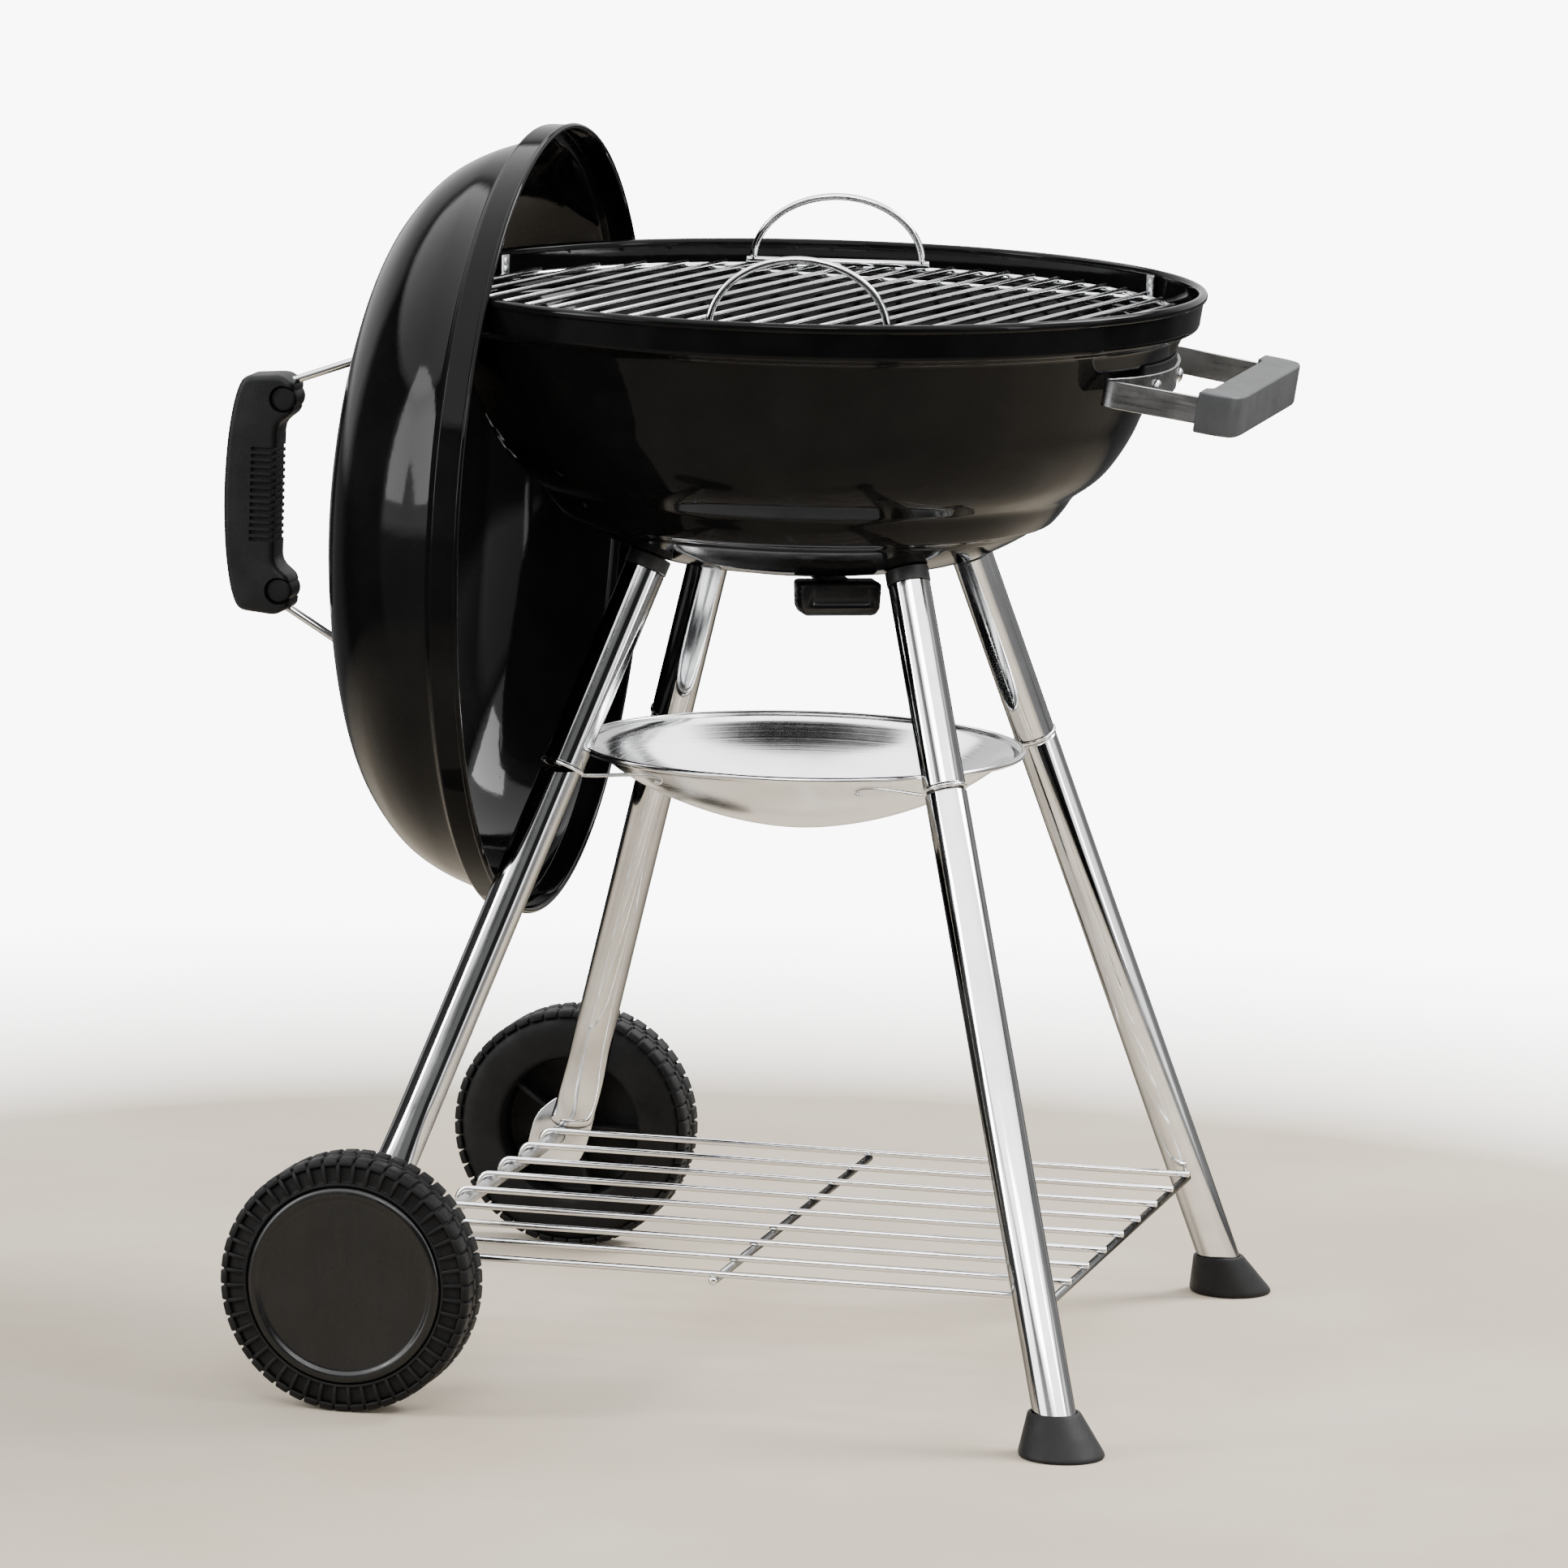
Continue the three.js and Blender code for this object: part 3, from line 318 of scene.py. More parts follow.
class Look:
    """A material and the few nodes that its detail is made of."""

    def __init__(self, name, metallic=0.0, specular=0.5, roughness=0.5):
        self.material = bpy.data.materials.new(name)
        self.material.use_nodes = True
        self.nodes = self.material.node_tree.nodes
        self.links = self.material.node_tree.links
        self.shader = self.nodes["Principled BSDF"]
        self.shader.inputs["Metallic"].default_value = metallic
        self.shader.inputs["Specular IOR Level"].default_value = specular
        self.shader.inputs["Roughness"].default_value = roughness
        self.place = self.node("TexCoord").outputs["Object"]
        self.height = None

    def node(self, kind):
        return self.nodes.new("ShaderNode" + kind)

    def stretched(self, scale):
        node = self.node("Mapping")
        node.inputs["Scale"].default_value = scale
        self.links.new(self.place, node.inputs["Vector"])
        return node.outputs["Vector"]

    def noise(self, scale, detail, stretch=(1, 1, 1)):
        node = self.node("TexNoise")
        node.inputs["Scale"].default_value = scale
        node.inputs["Detail"].default_value = detail
        node.inputs["Roughness"].default_value = NOISE_ROUGHNESS
        self.links.new(self.stretched(stretch), node.inputs["Vector"])
        return node.outputs["Fac"]

    def cells(self, scale):
        node = self.node("TexVoronoi")
        node.inputs["Scale"].default_value = scale
        self.links.new(self.place, node.inputs["Vector"])
        return node.outputs["Distance"]

    def around(self, scale):
        """Fine rings round Z, from the distance to the axis."""
        flat = self.node("VectorMath")
        flat.operation = "LENGTH"
        self.links.new(self.stretched((1, 1, 0)), flat.inputs[0])
        node = self.node("TexNoise")
        node.noise_dimensions = "1D"
        node.inputs["Scale"].default_value = scale
        node.inputs["Detail"].default_value = 3
        self.links.new(flat.outputs["Value"], node.inputs["W"])
        return node.outputs["Fac"]

    def spread(self, value, low, high, to_low, to_high):
        node = self.node("MapRange")
        names = ("From Min", "From Max", "To Min", "To Max")
        for name, number in zip(names, (low, high, to_low, to_high)):
            node.inputs[name].default_value = number
        self.links.new(value, node.inputs["Value"])
        return node.outputs["Result"]

    def colors(self, value, low, high, low_color, high_color):
        node = self.node("ValToRGB")
        first, last = node.color_ramp.elements
        first.position, last.position = low, high
        first.color, last.color = (*low_color, 1), (*high_color, 1)
        self.links.new(value, node.inputs["Fac"])
        self.links.new(node.outputs["Color"], self.shader.inputs["Base Color"])

    def painted_edge_shade(self, share, start, end):
        """Painted shade: scales the color down where the surface turns away from the eye, as the soft
        shading of a round tube, and darkens the tint of the reflection at the rim.
        """
        facing = self.node("LayerWeight")
        facing.inputs["Blend"].default_value = 0.5
        shade = self.spread(facing.outputs["Facing"], start, end, 1.0, share)
        node = self.node("VectorMath")
        node.operation = "SCALE"
        self.links.new(self.shader.inputs["Base Color"].links[0].from_socket, node.inputs[0])
        self.links.new(shade, node.inputs["Scale"])
        self.links.new(node.outputs["Vector"], self.shader.inputs["Base Color"])
        rim = share * 2
        self.shader.inputs["Specular Tint"].default_value = (rim, rim, rim, 1)

    def rough(self, value):
        self.links.new(value, self.shader.inputs["Roughness"])

    def joined(self, first, second, operation="ADD"):
        node = self.node("Math")
        node.operation = operation
        self.links.new(first, node.inputs[0])
        self.links.new(second, node.inputs[1])
        return node.outputs["Value"]

    def bump(self, value, strength, distance):
        node = self.node("Bump")
        node.inputs["Strength"].default_value = strength
        node.inputs["Distance"].default_value = distance
        self.links.new(value, node.inputs["Height"])
        if self.height:
            self.links.new(self.height, node.inputs["Normal"])
        self.height = node.outputs["Normal"]
        self.links.new(self.height, self.shader.inputs["Normal"])
        return self


def enamel():
    look = Look("enamel", specular=0.075)
    haze = look.spread(look.noise(7, 5), 0.35, 0.7, 0.03, 0.1)
    specks = look.spread(look.noise(620, 2), 0.69, 0.76, 0.0, 0.3)
    look.rough(look.joined(haze, specks))
    look.colors(look.noise(28, 6), 0.4, 0.75, (0.0035, 0.0035, 0.0037), (0.006, 0.0059, 0.0058))
    look.bump(look.noise(95, 2), 0.05, 0.0009)
    return look.bump(look.noise(9, 2), 0.12, 0.0018).material


def chrome(name, tint, low, high, scratch, edge=None, start=0.12, end=0.7):
    look = Look(name, metallic=1.0)
    streaks = look.noise(160, 4, (1, 1, 0.02))
    clouds = look.noise(22, 5)
    look.rough(look.spread(look.joined(streaks, clouds, "MULTIPLY"), 0.14, 0.42, low, high))
    dim = tuple(c * 0.86 for c in tint)
    look.colors(look.noise(40, 6), 0.35, 0.7, dim, tint)
    # edge is the share of the color left at the silhouette by the painted shade
    if edge:
        look.painted_edge_shade(edge, start, end)
    return look.bump(streaks, scratch, 0.0002).bump(look.noise(14, 2), 0.03, 0.001).material


def spun_steel():
    look = Look("dish_steel", metallic=1.0)
    rings = look.around(900)
    look.rough(look.spread(look.joined(rings, look.noise(16, 5), "MULTIPLY"), 0.12, 0.42, 0.1, 0.27))
    look.colors(look.noise(26, 6), 0.35, 0.7, (0.78, 0.785, 0.79), (0.9, 0.905, 0.91))
    return look.bump(rings, 0.12, 0.0002).bump(look.noise(11, 2), 0.05, 0.0012).material


def satin_steel(name, tint, stretch):
    look = Look(name, metallic=1.0)
    grain = look.noise(420, 5, stretch)
    look.rough(look.spread(look.joined(grain, look.noise(30, 4), "MULTIPLY"), 0.12, 0.42, 0.24, 0.42))
    dim = tuple(c * 0.8 for c in tint)
    look.colors(look.noise(60, 5), 0.35, 0.7, dim, tint)
    return look.bump(grain, 0.12, 0.0002).material


def black_steel():
    look = Look("black_steel")
    look.rough(look.spread(look.noise(70, 5), 0.35, 0.7, 0.34, 0.55))
    look.colors(look.noise(45, 6), 0.4, 0.75, (0.014, 0.014, 0.015), (0.03, 0.029, 0.028))
    return look.bump(look.noise(700, 3), 0.12, 0.0003).material


def gloss_plastic():
    look = Look("gloss_plastic", specular=0.35)
    scuffs = look.noise(240, 4, (1, 0.06, 1))
    look.rough(look.spread(look.joined(scuffs, look.noise(24, 4), "MULTIPLY"), 0.14, 0.4, 0.2, 0.36))
    look.colors(look.noise(30, 5), 0.4, 0.75, (0.005, 0.005, 0.0053), (0.009, 0.009, 0.0094))
    return look.bump(look.noise(900, 2), 0.05, 0.0002).material


def grained_plastic(name, dark, light, low, high, grain=0.25, specular=0.15):
    look = Look(name, specular=specular)
    look.rough(look.spread(look.noise(55, 5), 0.35, 0.7, low, high))
    look.colors(look.noise(35, 6), 0.35, 0.72, dark, light)
    look.bump(look.cells(1300), grain, 0.00025)
    return look.bump(look.noise(60, 3), 0.05, 0.0006).material


def wheel_plastic():
    look = Look("wheel_plastic", specular=0.18)
    look.rough(look.spread(look.noise(48, 6), 0.35, 0.7, 0.5, 0.75))
    look.colors(look.noise(34, 7), 0.45, 0.8, (0.0035, 0.0035, 0.0038), (0.01, 0.0097, 0.0094))
    look.bump(look.noise(850, 3), 0.3, 0.0003)
    return look.bump(look.noise(70, 3), 0.1, 0.0006).material


PLATING = (0.86, 0.865, 0.875)

ENAMEL = enamel()
# CHROME and RACK_LOOK carry painted shade that darkens them towards their silhouettes, like a lit round tube
CHROME = chrome("chrome", (0.84, 0.845, 0.855), 0.05, 0.15, 0.05, edge=0.24)
WIRE = chrome("wire_chrome", PLATING, 0.1, 0.24, 0.08)
RACK_LOOK = chrome("rack_chrome", PLATING, 0.08, 0.2, 0.08, edge=0.12, start=0.35, end=0.82)
DISH = spun_steel()
STEEL = satin_steel("bright_steel", (0.6, 0.605, 0.615), (1, 1, 1))
STRAP = satin_steel("strap_steel", (0.47, 0.475, 0.48), (0.03, 1, 1))
BLACK_STEEL = black_steel()
GLOSS = gloss_plastic()
BLACK = grained_plastic("black_plastic", (0.006, 0.006, 0.0064), (0.012, 0.012, 0.012), 0.46, 0.62)
WHEEL_LOOK = wheel_plastic()
LID_GREY = grained_plastic("lid_grip", (0.01, 0.0102, 0.0105), (0.018, 0.0183, 0.019), 0.38, 0.5, 0.3)
SIDE_GREY = grained_plastic(
    "side_grip", (0.05, 0.051, 0.053), (0.072, 0.073, 0.075), 0.4, 0.54, grain=0.12, specular=0.35
)

# ---- Bowl ----

SHEET = 1.5
BASE_Z = 476
RIM_Z = 643
BAND_R = 230
BEAD_R = 3
BOWL_WALL = [
    ((0, BASE_Z), 1), ((72, BASE_Z), 20), ((96, 479.5), 20), ((119, 489.5), 12), ((133.5, 498), 2),
    ((136, 500.5), 1.2), ((145.5, 503), 3), ((152.5, 511), 20), ((157.5, 519), 2), ((160, 521.5), 2),
    ((174, 531), 20), ((184, 543.5), 20), ((193, 559), 20), ((198.5, 573), 20), ((221, 618), 2.5),
    ((229, 621.5), 1.5), ((BAND_R, 624), 1), ((BAND_R, 637), 1),
]
VENT_R, VENT_REACH, VENTS = 11, 36, 4


def wall_height(radius):
    """The height of the bowl's outside at a radius."""
    plain = [p for p, _ in BOWL_WALL]
    for (r0, z0), (r1, z1) in zip(plain, plain[1:]):
        if r0 <= radius <= r1 and r1 > r0:
            return z0 + (z1 - z0) * (radius - r0) / (r1 - r0)
    return RIM_Z


def round_bar(start, end, radius, sides=32):
    start, end = Vector(start), Vector(end)
    turn = Vector((0, 0, 1)).rotation_difference(end - start).to_matrix().to_4x4()
    length = (end - start).length
    shape = lathe([(0, 0), (radius, 0), (radius, length), (0, length)], sides)
    return moved(shape, shift(start) @ turn)


def add_bowl():
    outside = rounded(BOWL_WALL, steps=5)
    inside = offset(outside, SHEET)[::-1]
    inside[-1] = (0, BASE_Z + SHEET)
    bead = arc((BAND_R + 4 - BEAD_R, RIM_Z - BEAD_R), BEAD_R, -75, 215, 20)
    shell = lathe(outside[:-1] + bead + inside[1:], 192)
    vent = round_bar((VENT_REACH, 0, BASE_Z - 6), (VENT_REACH, 0, BASE_Z + 8), VENT_R, 48)
    put("bowl", drilled(shell, [spun(VENTS, vent)]), ENAMEL)


BRACKETS = {"right": 39, "back": 159, "front": 279}


def add_brackets():
    line = rounded([(225.2, 640), (225.2, 624), (213.5, 624)], cut=3)
    shape = strip(line, 1.4, 8)
    weld = lathe([(0, 0.9), (1.6, 0.7), (2.4, 0), (0, 0)], 16)
    spots = [
        moved(weld, shift((224.6, 0, z)) @ turned(-90, "Y"))
        for z in (631, 636)
    ]
    for name, angle in BRACKETS.items():
        turn = turned(angle, "Z")
        put("grate_bracket_" + name, merged([shape, *spots]), STEEL, turn)


# ---- Bottom damper ----

DAMPER_TOP = 474.6
DAMPER_THICKNESS = 1.2
DAMPER_ANGLE = -64


def add_damper():
    turn = turned(DAMPER_ANGLE, "Z")
    low = DAMPER_TOP - DAMPER_THICKNESS
    edge = 0.3
    disc = lathe([(0, low), (56 - edge, low), (56, low + edge), (56, DAMPER_TOP - edge),
                  (56 - edge, DAMPER_TOP), (0, DAMPER_TOP)], 96)
    lever = bevelled(block((40, -10, low), (90, 10, DAMPER_TOP - 0.01)), 0.25)
    vent = round_bar((VENT_REACH, 0, low - 3), (VENT_REACH, 0, DAMPER_TOP + 3), VENT_R, 40)
    plate = drilled(disc, [spun(VENTS, vent, -math.radians(DAMPER_ANGLE))])
    put("damper_plate", merged([plate, lever]), STEEL, turn)

    # The grip is a thumb scoop: a deep rounded block, hollowed on its outer face.
    body = bevelled(
        loft([
            [(x * 0.88, y, 455.4) for x, y in ((-24.5, 75), (24.5, 75), (24.5, 95), (-24.5, 95))],
            [(x * 0.97, y, 460) for x, y in ((-24.5, 74), (24.5, 74), (24.5, 96.5), (-24.5, 96.5))],
            [(-24.5, 73, 475.4), (24.5, 73, 475.4), (24.5, 96.5, 475.4), (-24.5, 96.5, 475.4)],
        ]),
        2.6, 4, 25,
    )
    scoop = moved(
        bevelled(block((-18.5, 0, 0), (18.5, 9, 30)), 3.5, 4),
        shift((0, 93.5, 461)) @ turned(-14, "X"),
    )
    grip = moved(drilled(body, [scoop]), turned(-90, "Z"))
    put("damper_grip", grip, GLOSS, turn, 40)

    pin = [(0, low - 2.6), (3.5, low - 2.4), (5.6, low - 1.4), (6, low - 0.4), (2.9, low - 0.3),
           (2.9, BASE_Z + SHEET + 0.3), (4.2, BASE_Z + SHEET + 0.4), (3.8, BASE_Z + SHEET + 1.7),
           (2.4, BASE_Z + SHEET + 2.3), (0, BASE_Z + SHEET + 2.5)]
    put("damper_pivot_rivet", lathe(pin, 40), STEEL)


# ---- Legs ----

WHEEL_X = -200
LEG_R = 12.5
LEG_WALL = 1.2
LEG_TOP_Y, LEG_TOP_Z = 75, 475
LEG_SLOPE_Y = 0.368
JOINT_Z = 363
SEAT = 3
NECK = 1.8


class Leg:
    """One of the four legs: its side and depth, the X of its top, its slope along X and its bolt."""

    def __init__(self, side, depth, top_x, slope_x, bolt_head):
        self.side, self.depth = side, depth
        self.top_x, self.slope_x = top_x, slope_x
        self.bolt_head = bolt_head
        up = Vector((-side * slope_x, -depth * LEG_SLOPE_Y, 1)).normalized()
        turn = Vector((0, 0, 1)).rotation_difference(up).to_matrix().to_4x4()
        self.place = shift((side * top_x, depth * LEG_TOP_Y, LEG_TOP_Z)) @ turn

    def along(self, height):
        """The distance along the leg's axis to a height."""
        return (height - LEG_TOP_Z) * math.hypot(self.slope_x, LEG_SLOPE_Y, 1)

    def at(self, height):
        """The point of the leg's axis at a height."""
        fall = LEG_TOP_Z - height
        x = self.side * (self.top_x + self.slope_x * fall)
        return Vector((x, self.depth * (LEG_TOP_Y + LEG_SLOPE_Y * fall), height))


LEGS = {
    "left_near": Leg(-1, -1, 80, 0.324, 12.4),
    "left_far": Leg(-1, 1, 75, 0.3, 11.0),
    "right_near": Leg(1, -1, 80, 0.3, 12.3),
    "right_far": Leg(1, 1, 84, 0.292, 13.7),
}


def pipe(low, high, shoulder=False):
    edge = 0.35
    inner = LEG_R - LEG_WALL
    if not shoulder:
        outline = [(inner, low + edge), (inner + edge, low), (LEG_R - edge, low), (LEG_R, low + edge),
                   (LEG_R, high - edge), (LEG_R - edge, high), (inner + edge, high), (inner, high - edge)]
        return lathe(outline, 72)
    outline = [(inner, low), (LEG_R - edge, low), (LEG_R, low + edge), (LEG_R, high - NECK),
               (LEG_R - 0.4, high - 1.1), (LEG_R - NECK + 0.4, high - 0.3), (LEG_R - NECK, high),
               (LEG_R - NECK, high + 29), (inner - NECK, high + 29), (inner - NECK, low + 2)]
    return lathe(outline, 72)


TAB_Y, TAB_THICKNESS = 216, 2.4
PRESS_TOP, PRESS_LOW, PRESS_END = 170, 87, 7  # where the pressing starts and ends, and its round end
PRESS_DEEP, PRESS_FLARE = 4.2, 1.1  # its half depth, and what it adds to the half width


def leg_tab(tab_y, tube_x):
    """The flared plate that holds the axle."""
    outline = rounded(
        [((-19.4, -3), 8), ((-15, 14), 8), ((tube_x - 13.6, 25), 4), ((tube_x + 13.6, 27), 4),
         ((20, 2), 6), ((16, -11), 4), ((12, -17), 3), ((-14, -17), 4), ((-20, -10), 4)],
        closed=True,
    )
    plate = bevelled(prism(outline, -TAB_THICKNESS / 2, TAB_THICKNESS / 2), 0.5, 2, 50)
    plate = moved(plate, turned(90, "X"))
    plate = moved(plate, shift((WHEEL_X, tab_y, WHEEL_R)))
    ends = [(WHEEL_X, tab_y + y, WHEEL_R) for y in (-9, 9)]
    return drilled(plate, [round_bar(*ends, HUB_BORE, 32)])


def flat_end(leg):
    """The lower left legs: the tube's foot is pressed flat against a flared tab."""
    tab_y = leg.depth * TAB_Y
    # height, half width, half depth and how far the middle has moved onto the tab
    rows = [(360, LEG_R, LEG_R, 0.0), (260, LEG_R, LEG_R, 0.0)]
    for i in range(41):
        t = i / 40
        ease = t * t * (3 - 2 * t)
        height = PRESS_TOP + (PRESS_LOW - PRESS_TOP) * t
        rows.append((height, LEG_R + PRESS_FLARE * ease, LEG_R + (PRESS_DEEP - LEG_R) * ease, ease**2))
    for i in range(1, 11):
        t = math.sin(math.pi / 2 * i / 10.3)
        close = math.sqrt(1 - t * t)
        rows.append((PRESS_LOW - PRESS_END * t, (LEG_R + PRESS_FLARE) * close, PRESS_DEEP * close, 1.0))
    rings = []
    for height, half, deep, flat in rows:
        centre = leg.at(max(height, PRESS_LOW))
        y = centre.y + (tab_y - leg.depth * deep * 0.5 - centre.y) * flat
        rings.append([(centre.x + half * math.cos(a), y + deep * math.sin(a), height) for a in turns(48)])
    return merged([leg_tab(tab_y, leg.at(99).x - WHEEL_X), loft(rings)])


def add_socket(name, place):
    """A collar whose upper edge follows the bowl."""
    collar, bore, edge = LEG_R + 0.5, 8, 0.5

    def rise(angle, radius):
        """How far up the leg's axis the bowl is met."""
        low, high = -20.0, 60.0
        for _ in range(24):
            middle = (low + high) / 2
            p = place @ Vector((radius * math.cos(angle), radius * math.sin(angle), middle))
            clear = wall_height(math.hypot(p.x, p.y)) - 0.3 - p.z
            low, high = (middle, high) if clear > 0 else (low, middle)
        return low

    def top_ring(radius, height):
        return [(radius * math.cos(a), radius * math.sin(a), rise(a, radius) + height) for a in turns(64)]

    rings = [circle(bore, 0.35, 64), circle(collar - edge, 0.35, 64), circle(collar, 0.8, 64),
             top_ring(collar, -0.6), top_ring(collar - edge, -0.1), top_ring(bore, 0)]
    put("leg_socket_" + name, loft(rings), BLACK_STEEL, place)


def hexagon(radius):
    return [(x, y) for x, y, _ in circle(radius, 0, 6)]


BOLT_R, BOLT_H, SHANK_R, SHANK_TIP, WASHER = 5.6, 3.4, 3, -18, 0.7


def leg_bolt(head):
    """A hexagon bolt whose head starts at a height, with its washer."""
    top = bevelled(prism(hexagon(BOLT_R), head + 0.6, head + BOLT_H), 0.5, 3)
    washer = lathe([(0, head), (BOLT_R, head), (BOLT_R, head + WASHER), (0, head + WASHER)], 40)
    shank = lathe([(0, SHANK_TIP), (SHANK_R - 0.5, SHANK_TIP), (SHANK_R, SHANK_TIP + 0.5),
                   (SHANK_R, head), (0, head)], 32)
    return merged([top, washer, shank])


CLIP_R, CLIP_WIRE = 12.2, 1.2
CLIP_HOOK = [(76, 107.3, 357.8), (66, 107.8, 357.9), (60.5, 108.2, 357), (58.5, 108.5, 355),
             (60, 108.6, 353.8), (62.5, 108.4, 354.2)]


def add_clip(name, leg):
    """A wire ring in the leg's joint, with an arm that hooks the ash dish."""
    height = leg.along(JOINT_Z) - SEAT / 2
    back = leg.place.inverted()
    hook = [tuple(back @ Vector((leg.side * x, leg.depth * y, z))) for x, y, z in CLIP_HOOK]
    start = -leg.depth * CLIP_R
    arm = rounded([(0, start, height), (-leg.side * 10, start, height), *hook])
    ring = wire(circle(CLIP_R, height, 48), CLIP_WIRE, 12, True)
    put("dish_clip_" + name, merged([ring, wire(arm, CLIP_WIRE, 12)]), WIRE, leg.place)


FOOT_R, FOOT_H = 25, 24


def add_foot(name, leg):
    outline = rounded(
        [((0, 0), 1), ((24.2, 0), 1), ((FOOT_R, 0.9), 1), ((FOOT_R, 2.4), 1.2), ((24.4, 3.8), 2),
         ((16.3, FOOT_H - 2.2), 3), ((15.5, FOOT_H - 0.6), 0.8), ((15, FOOT_H), 0.5),
         ((13.5, FOOT_H), 0.5), ((13, FOOT_H - 0.8), 0.5), ((13, FOOT_H - 12), 0.5),
         ((0, FOOT_H - 12), 0.5)],
        steps=3,
    )
    points, faces = lathe(outline, 96)
    lean_x, lean_y = leg.side * leg.slope_x, leg.depth * LEG_SLOPE_Y
    leaned = [(x - lean_x * z, y - lean_y * z, z) for x, y, z in points]
    put("foot_cap_" + name, (leaned, faces), BLACK, shift(leg.at(0)))


def add_legs():
    for name, leg in LEGS.items():
        add_socket(name, leg.place)
        put("leg_bolt_" + name, leg_bolt(leg.bolt_head), STEEL, leg.place)
        put("upper_leg_" + name, pipe(leg.along(JOINT_Z), 0), CHROME, leg.place)
        add_clip(name, leg)
        if leg.side > 0:
            lower = pipe(leg.along(12), leg.along(JOINT_Z) - SEAT, True)
            put("lower_leg_" + name, lower, CHROME, leg.place)
            add_foot(name, leg)
        else:
            put("lower_leg_" + name, moved(flat_end(leg), leg.place.inverted()), CHROME, leg.place, 60)


# ---- Wheels ----

WHEEL_R, HUB_CAP_R = 75, 57.9
WHEEL_Y = 240
TREADS, SPOKES = 48, 5
AXLE_R, AXLE_HALF = 4, 271
HUB_BORE = AXLE_R + 0.4
SPACER_BORE = AXLE_R + 0.3


def tread_block(width, low, high):
    """One block of tread that wraps over the shoulder."""
    rings = []
    for radius, edge, taper in ((70.5, 0.0, 1.0), (72.6, 0.3, 0.99), (74.2, 1.3, 0.95), (74.9, 2.8, 0.88)):
        w = width / 2 * taper
        under, over = low + edge, high - edge
        rings.append([(radius, -w, under), (radius, w, under), (radius, w, over), (radius, -w, over)])
    return bevelled(loft(rings), 0.7, 3, 25)


def make_wheel():
    outline = rounded(
        [((HUB_BORE, -20), 0.5), ((10, -20), 1), ((11, 21), 1.5), ((43, 21), 2), ((43.8, 3.2), 1.5),
         ((45, 0.6), 1), ((47, 0), 1), ((62, 0.2), 8), ((69, 2), 4), ((72.6, 7), 3), ((73.2, 19), 20),
         ((72.6, 31), 3), ((70.2, 34.6), 2), ((64, 35.2), 3), ((60.6, 35.4), 1), ((60.2, 37.4), 0.6),
         ((58.6, 37.2), 0.6), ((58.3, 34), 0.5), ((50, 33), 3), ((46, 25), 3), ((11, 25), 1),
         ((10, 28), 0.5), ((HUB_BORE, 28), 0.5)],
        closed=True,
    )
    step = math.pi / TREADS
    outer = spun(TREADS, tread_block(8.3, 22.5, 36.9))
    inner = spun(TREADS, tread_block(8.3, 1.2, 15.5), step)
    middle = spun(TREADS, bevelled(block((71.5, -3.6, 16.4), (74.3, 3.6, 21.6)), 0.8), step / 2)
    rib = bevelled(loft([
        [(x, -w, 34.6), (x, w, 34.6), (x, w * 0.7, top), (x, -w * 0.7, top)]
        for x, w, top in ((60, 1.2, 37.3), (66, 1.35, 37.7), (70, 1.5, 37.0), (72.4, 1.5, 35.4))
    ]), 0.35, 2, 25)
    ribs = spun(TREADS, rib, step)
    spokes = spun(SPOKES, bevelled(block((9, -1.5, 6), (45, 1.5, 22)), 0.6, 2))
    return merged([lathe(outline, 144), outer, inner, middle, ribs, spokes])


def add_wheels():
    cap = rounded(
        [((0, 37.3), 1), ((50.5, 37.2), 2), ((51.6, 38), 0.8), ((53, 38.9), 1), ((55.2, 39), 1),
         ((57, 38.2), 1), ((HUB_CAP_R, 36.6), 0.8), ((HUB_CAP_R, 34.5), 0.3), ((53.5, 34.5), 0.3),
         ((51, 35.8), 1), ((0, 35.8), 1)],
    )
    push = rounded(
        [((0, 33.4), 1), ((6.2, 33.3), 1.5), ((8.4, 31.2), 1.2), ((9, 29.6), 0.8), ((9, 28.5), 0.2),
         ((4.3, 28.5), 0.2), ((4.3, 31.6), 0.2), ((0, 31.6), 0.2)],
    )
    spacer = [(SPACER_BORE, -22.3), (7.6, -22.3), (8, -21.9), (8, -20.7), (7.6, -20.3), (SPACER_BORE, -20.3)]
    wheel = make_wheel()
    for name, depth in {"near": -1, "far": 1}.items():
        turn = turned(-depth * 90, "X")
        place = shift((WHEEL_X, depth * WHEEL_Y, WHEEL_R)) @ turn
        put("wheel_" + name, wheel, WHEEL_LOOK, place, 40)
        put("hub_cap_" + name, lathe(cap, 144), GLOSS, place)
        put("axle_cap_" + name, lathe(push, 48), STEEL, place)
        put("axle_spacer_" + name, lathe(spacer, 48), STEEL, place)
    ends = [((0, -AXLE_HALF), 1), ((AXLE_R, -AXLE_HALF), 0.8), ((AXLE_R, AXLE_HALF), 0.8),
            ((0, AXLE_HALF), 1)]
    place = shift((WHEEL_X, 0, WHEEL_R)) @ turned(90, "X")
    put("axle", lathe(rounded(ends, steps=3), 40), STEEL, place)


# ---- Wire shelf ----

RACK_WIRE, RACK_ROD, RACK_COUNT, RACK_PITCH = 2, 2.5, 9, 49.6
RACK_RIGHT, RACK_MIDDLE = 201, 2
RACK_Z = WHEEL_R + AXLE_R + RACK_WIRE + 0.3


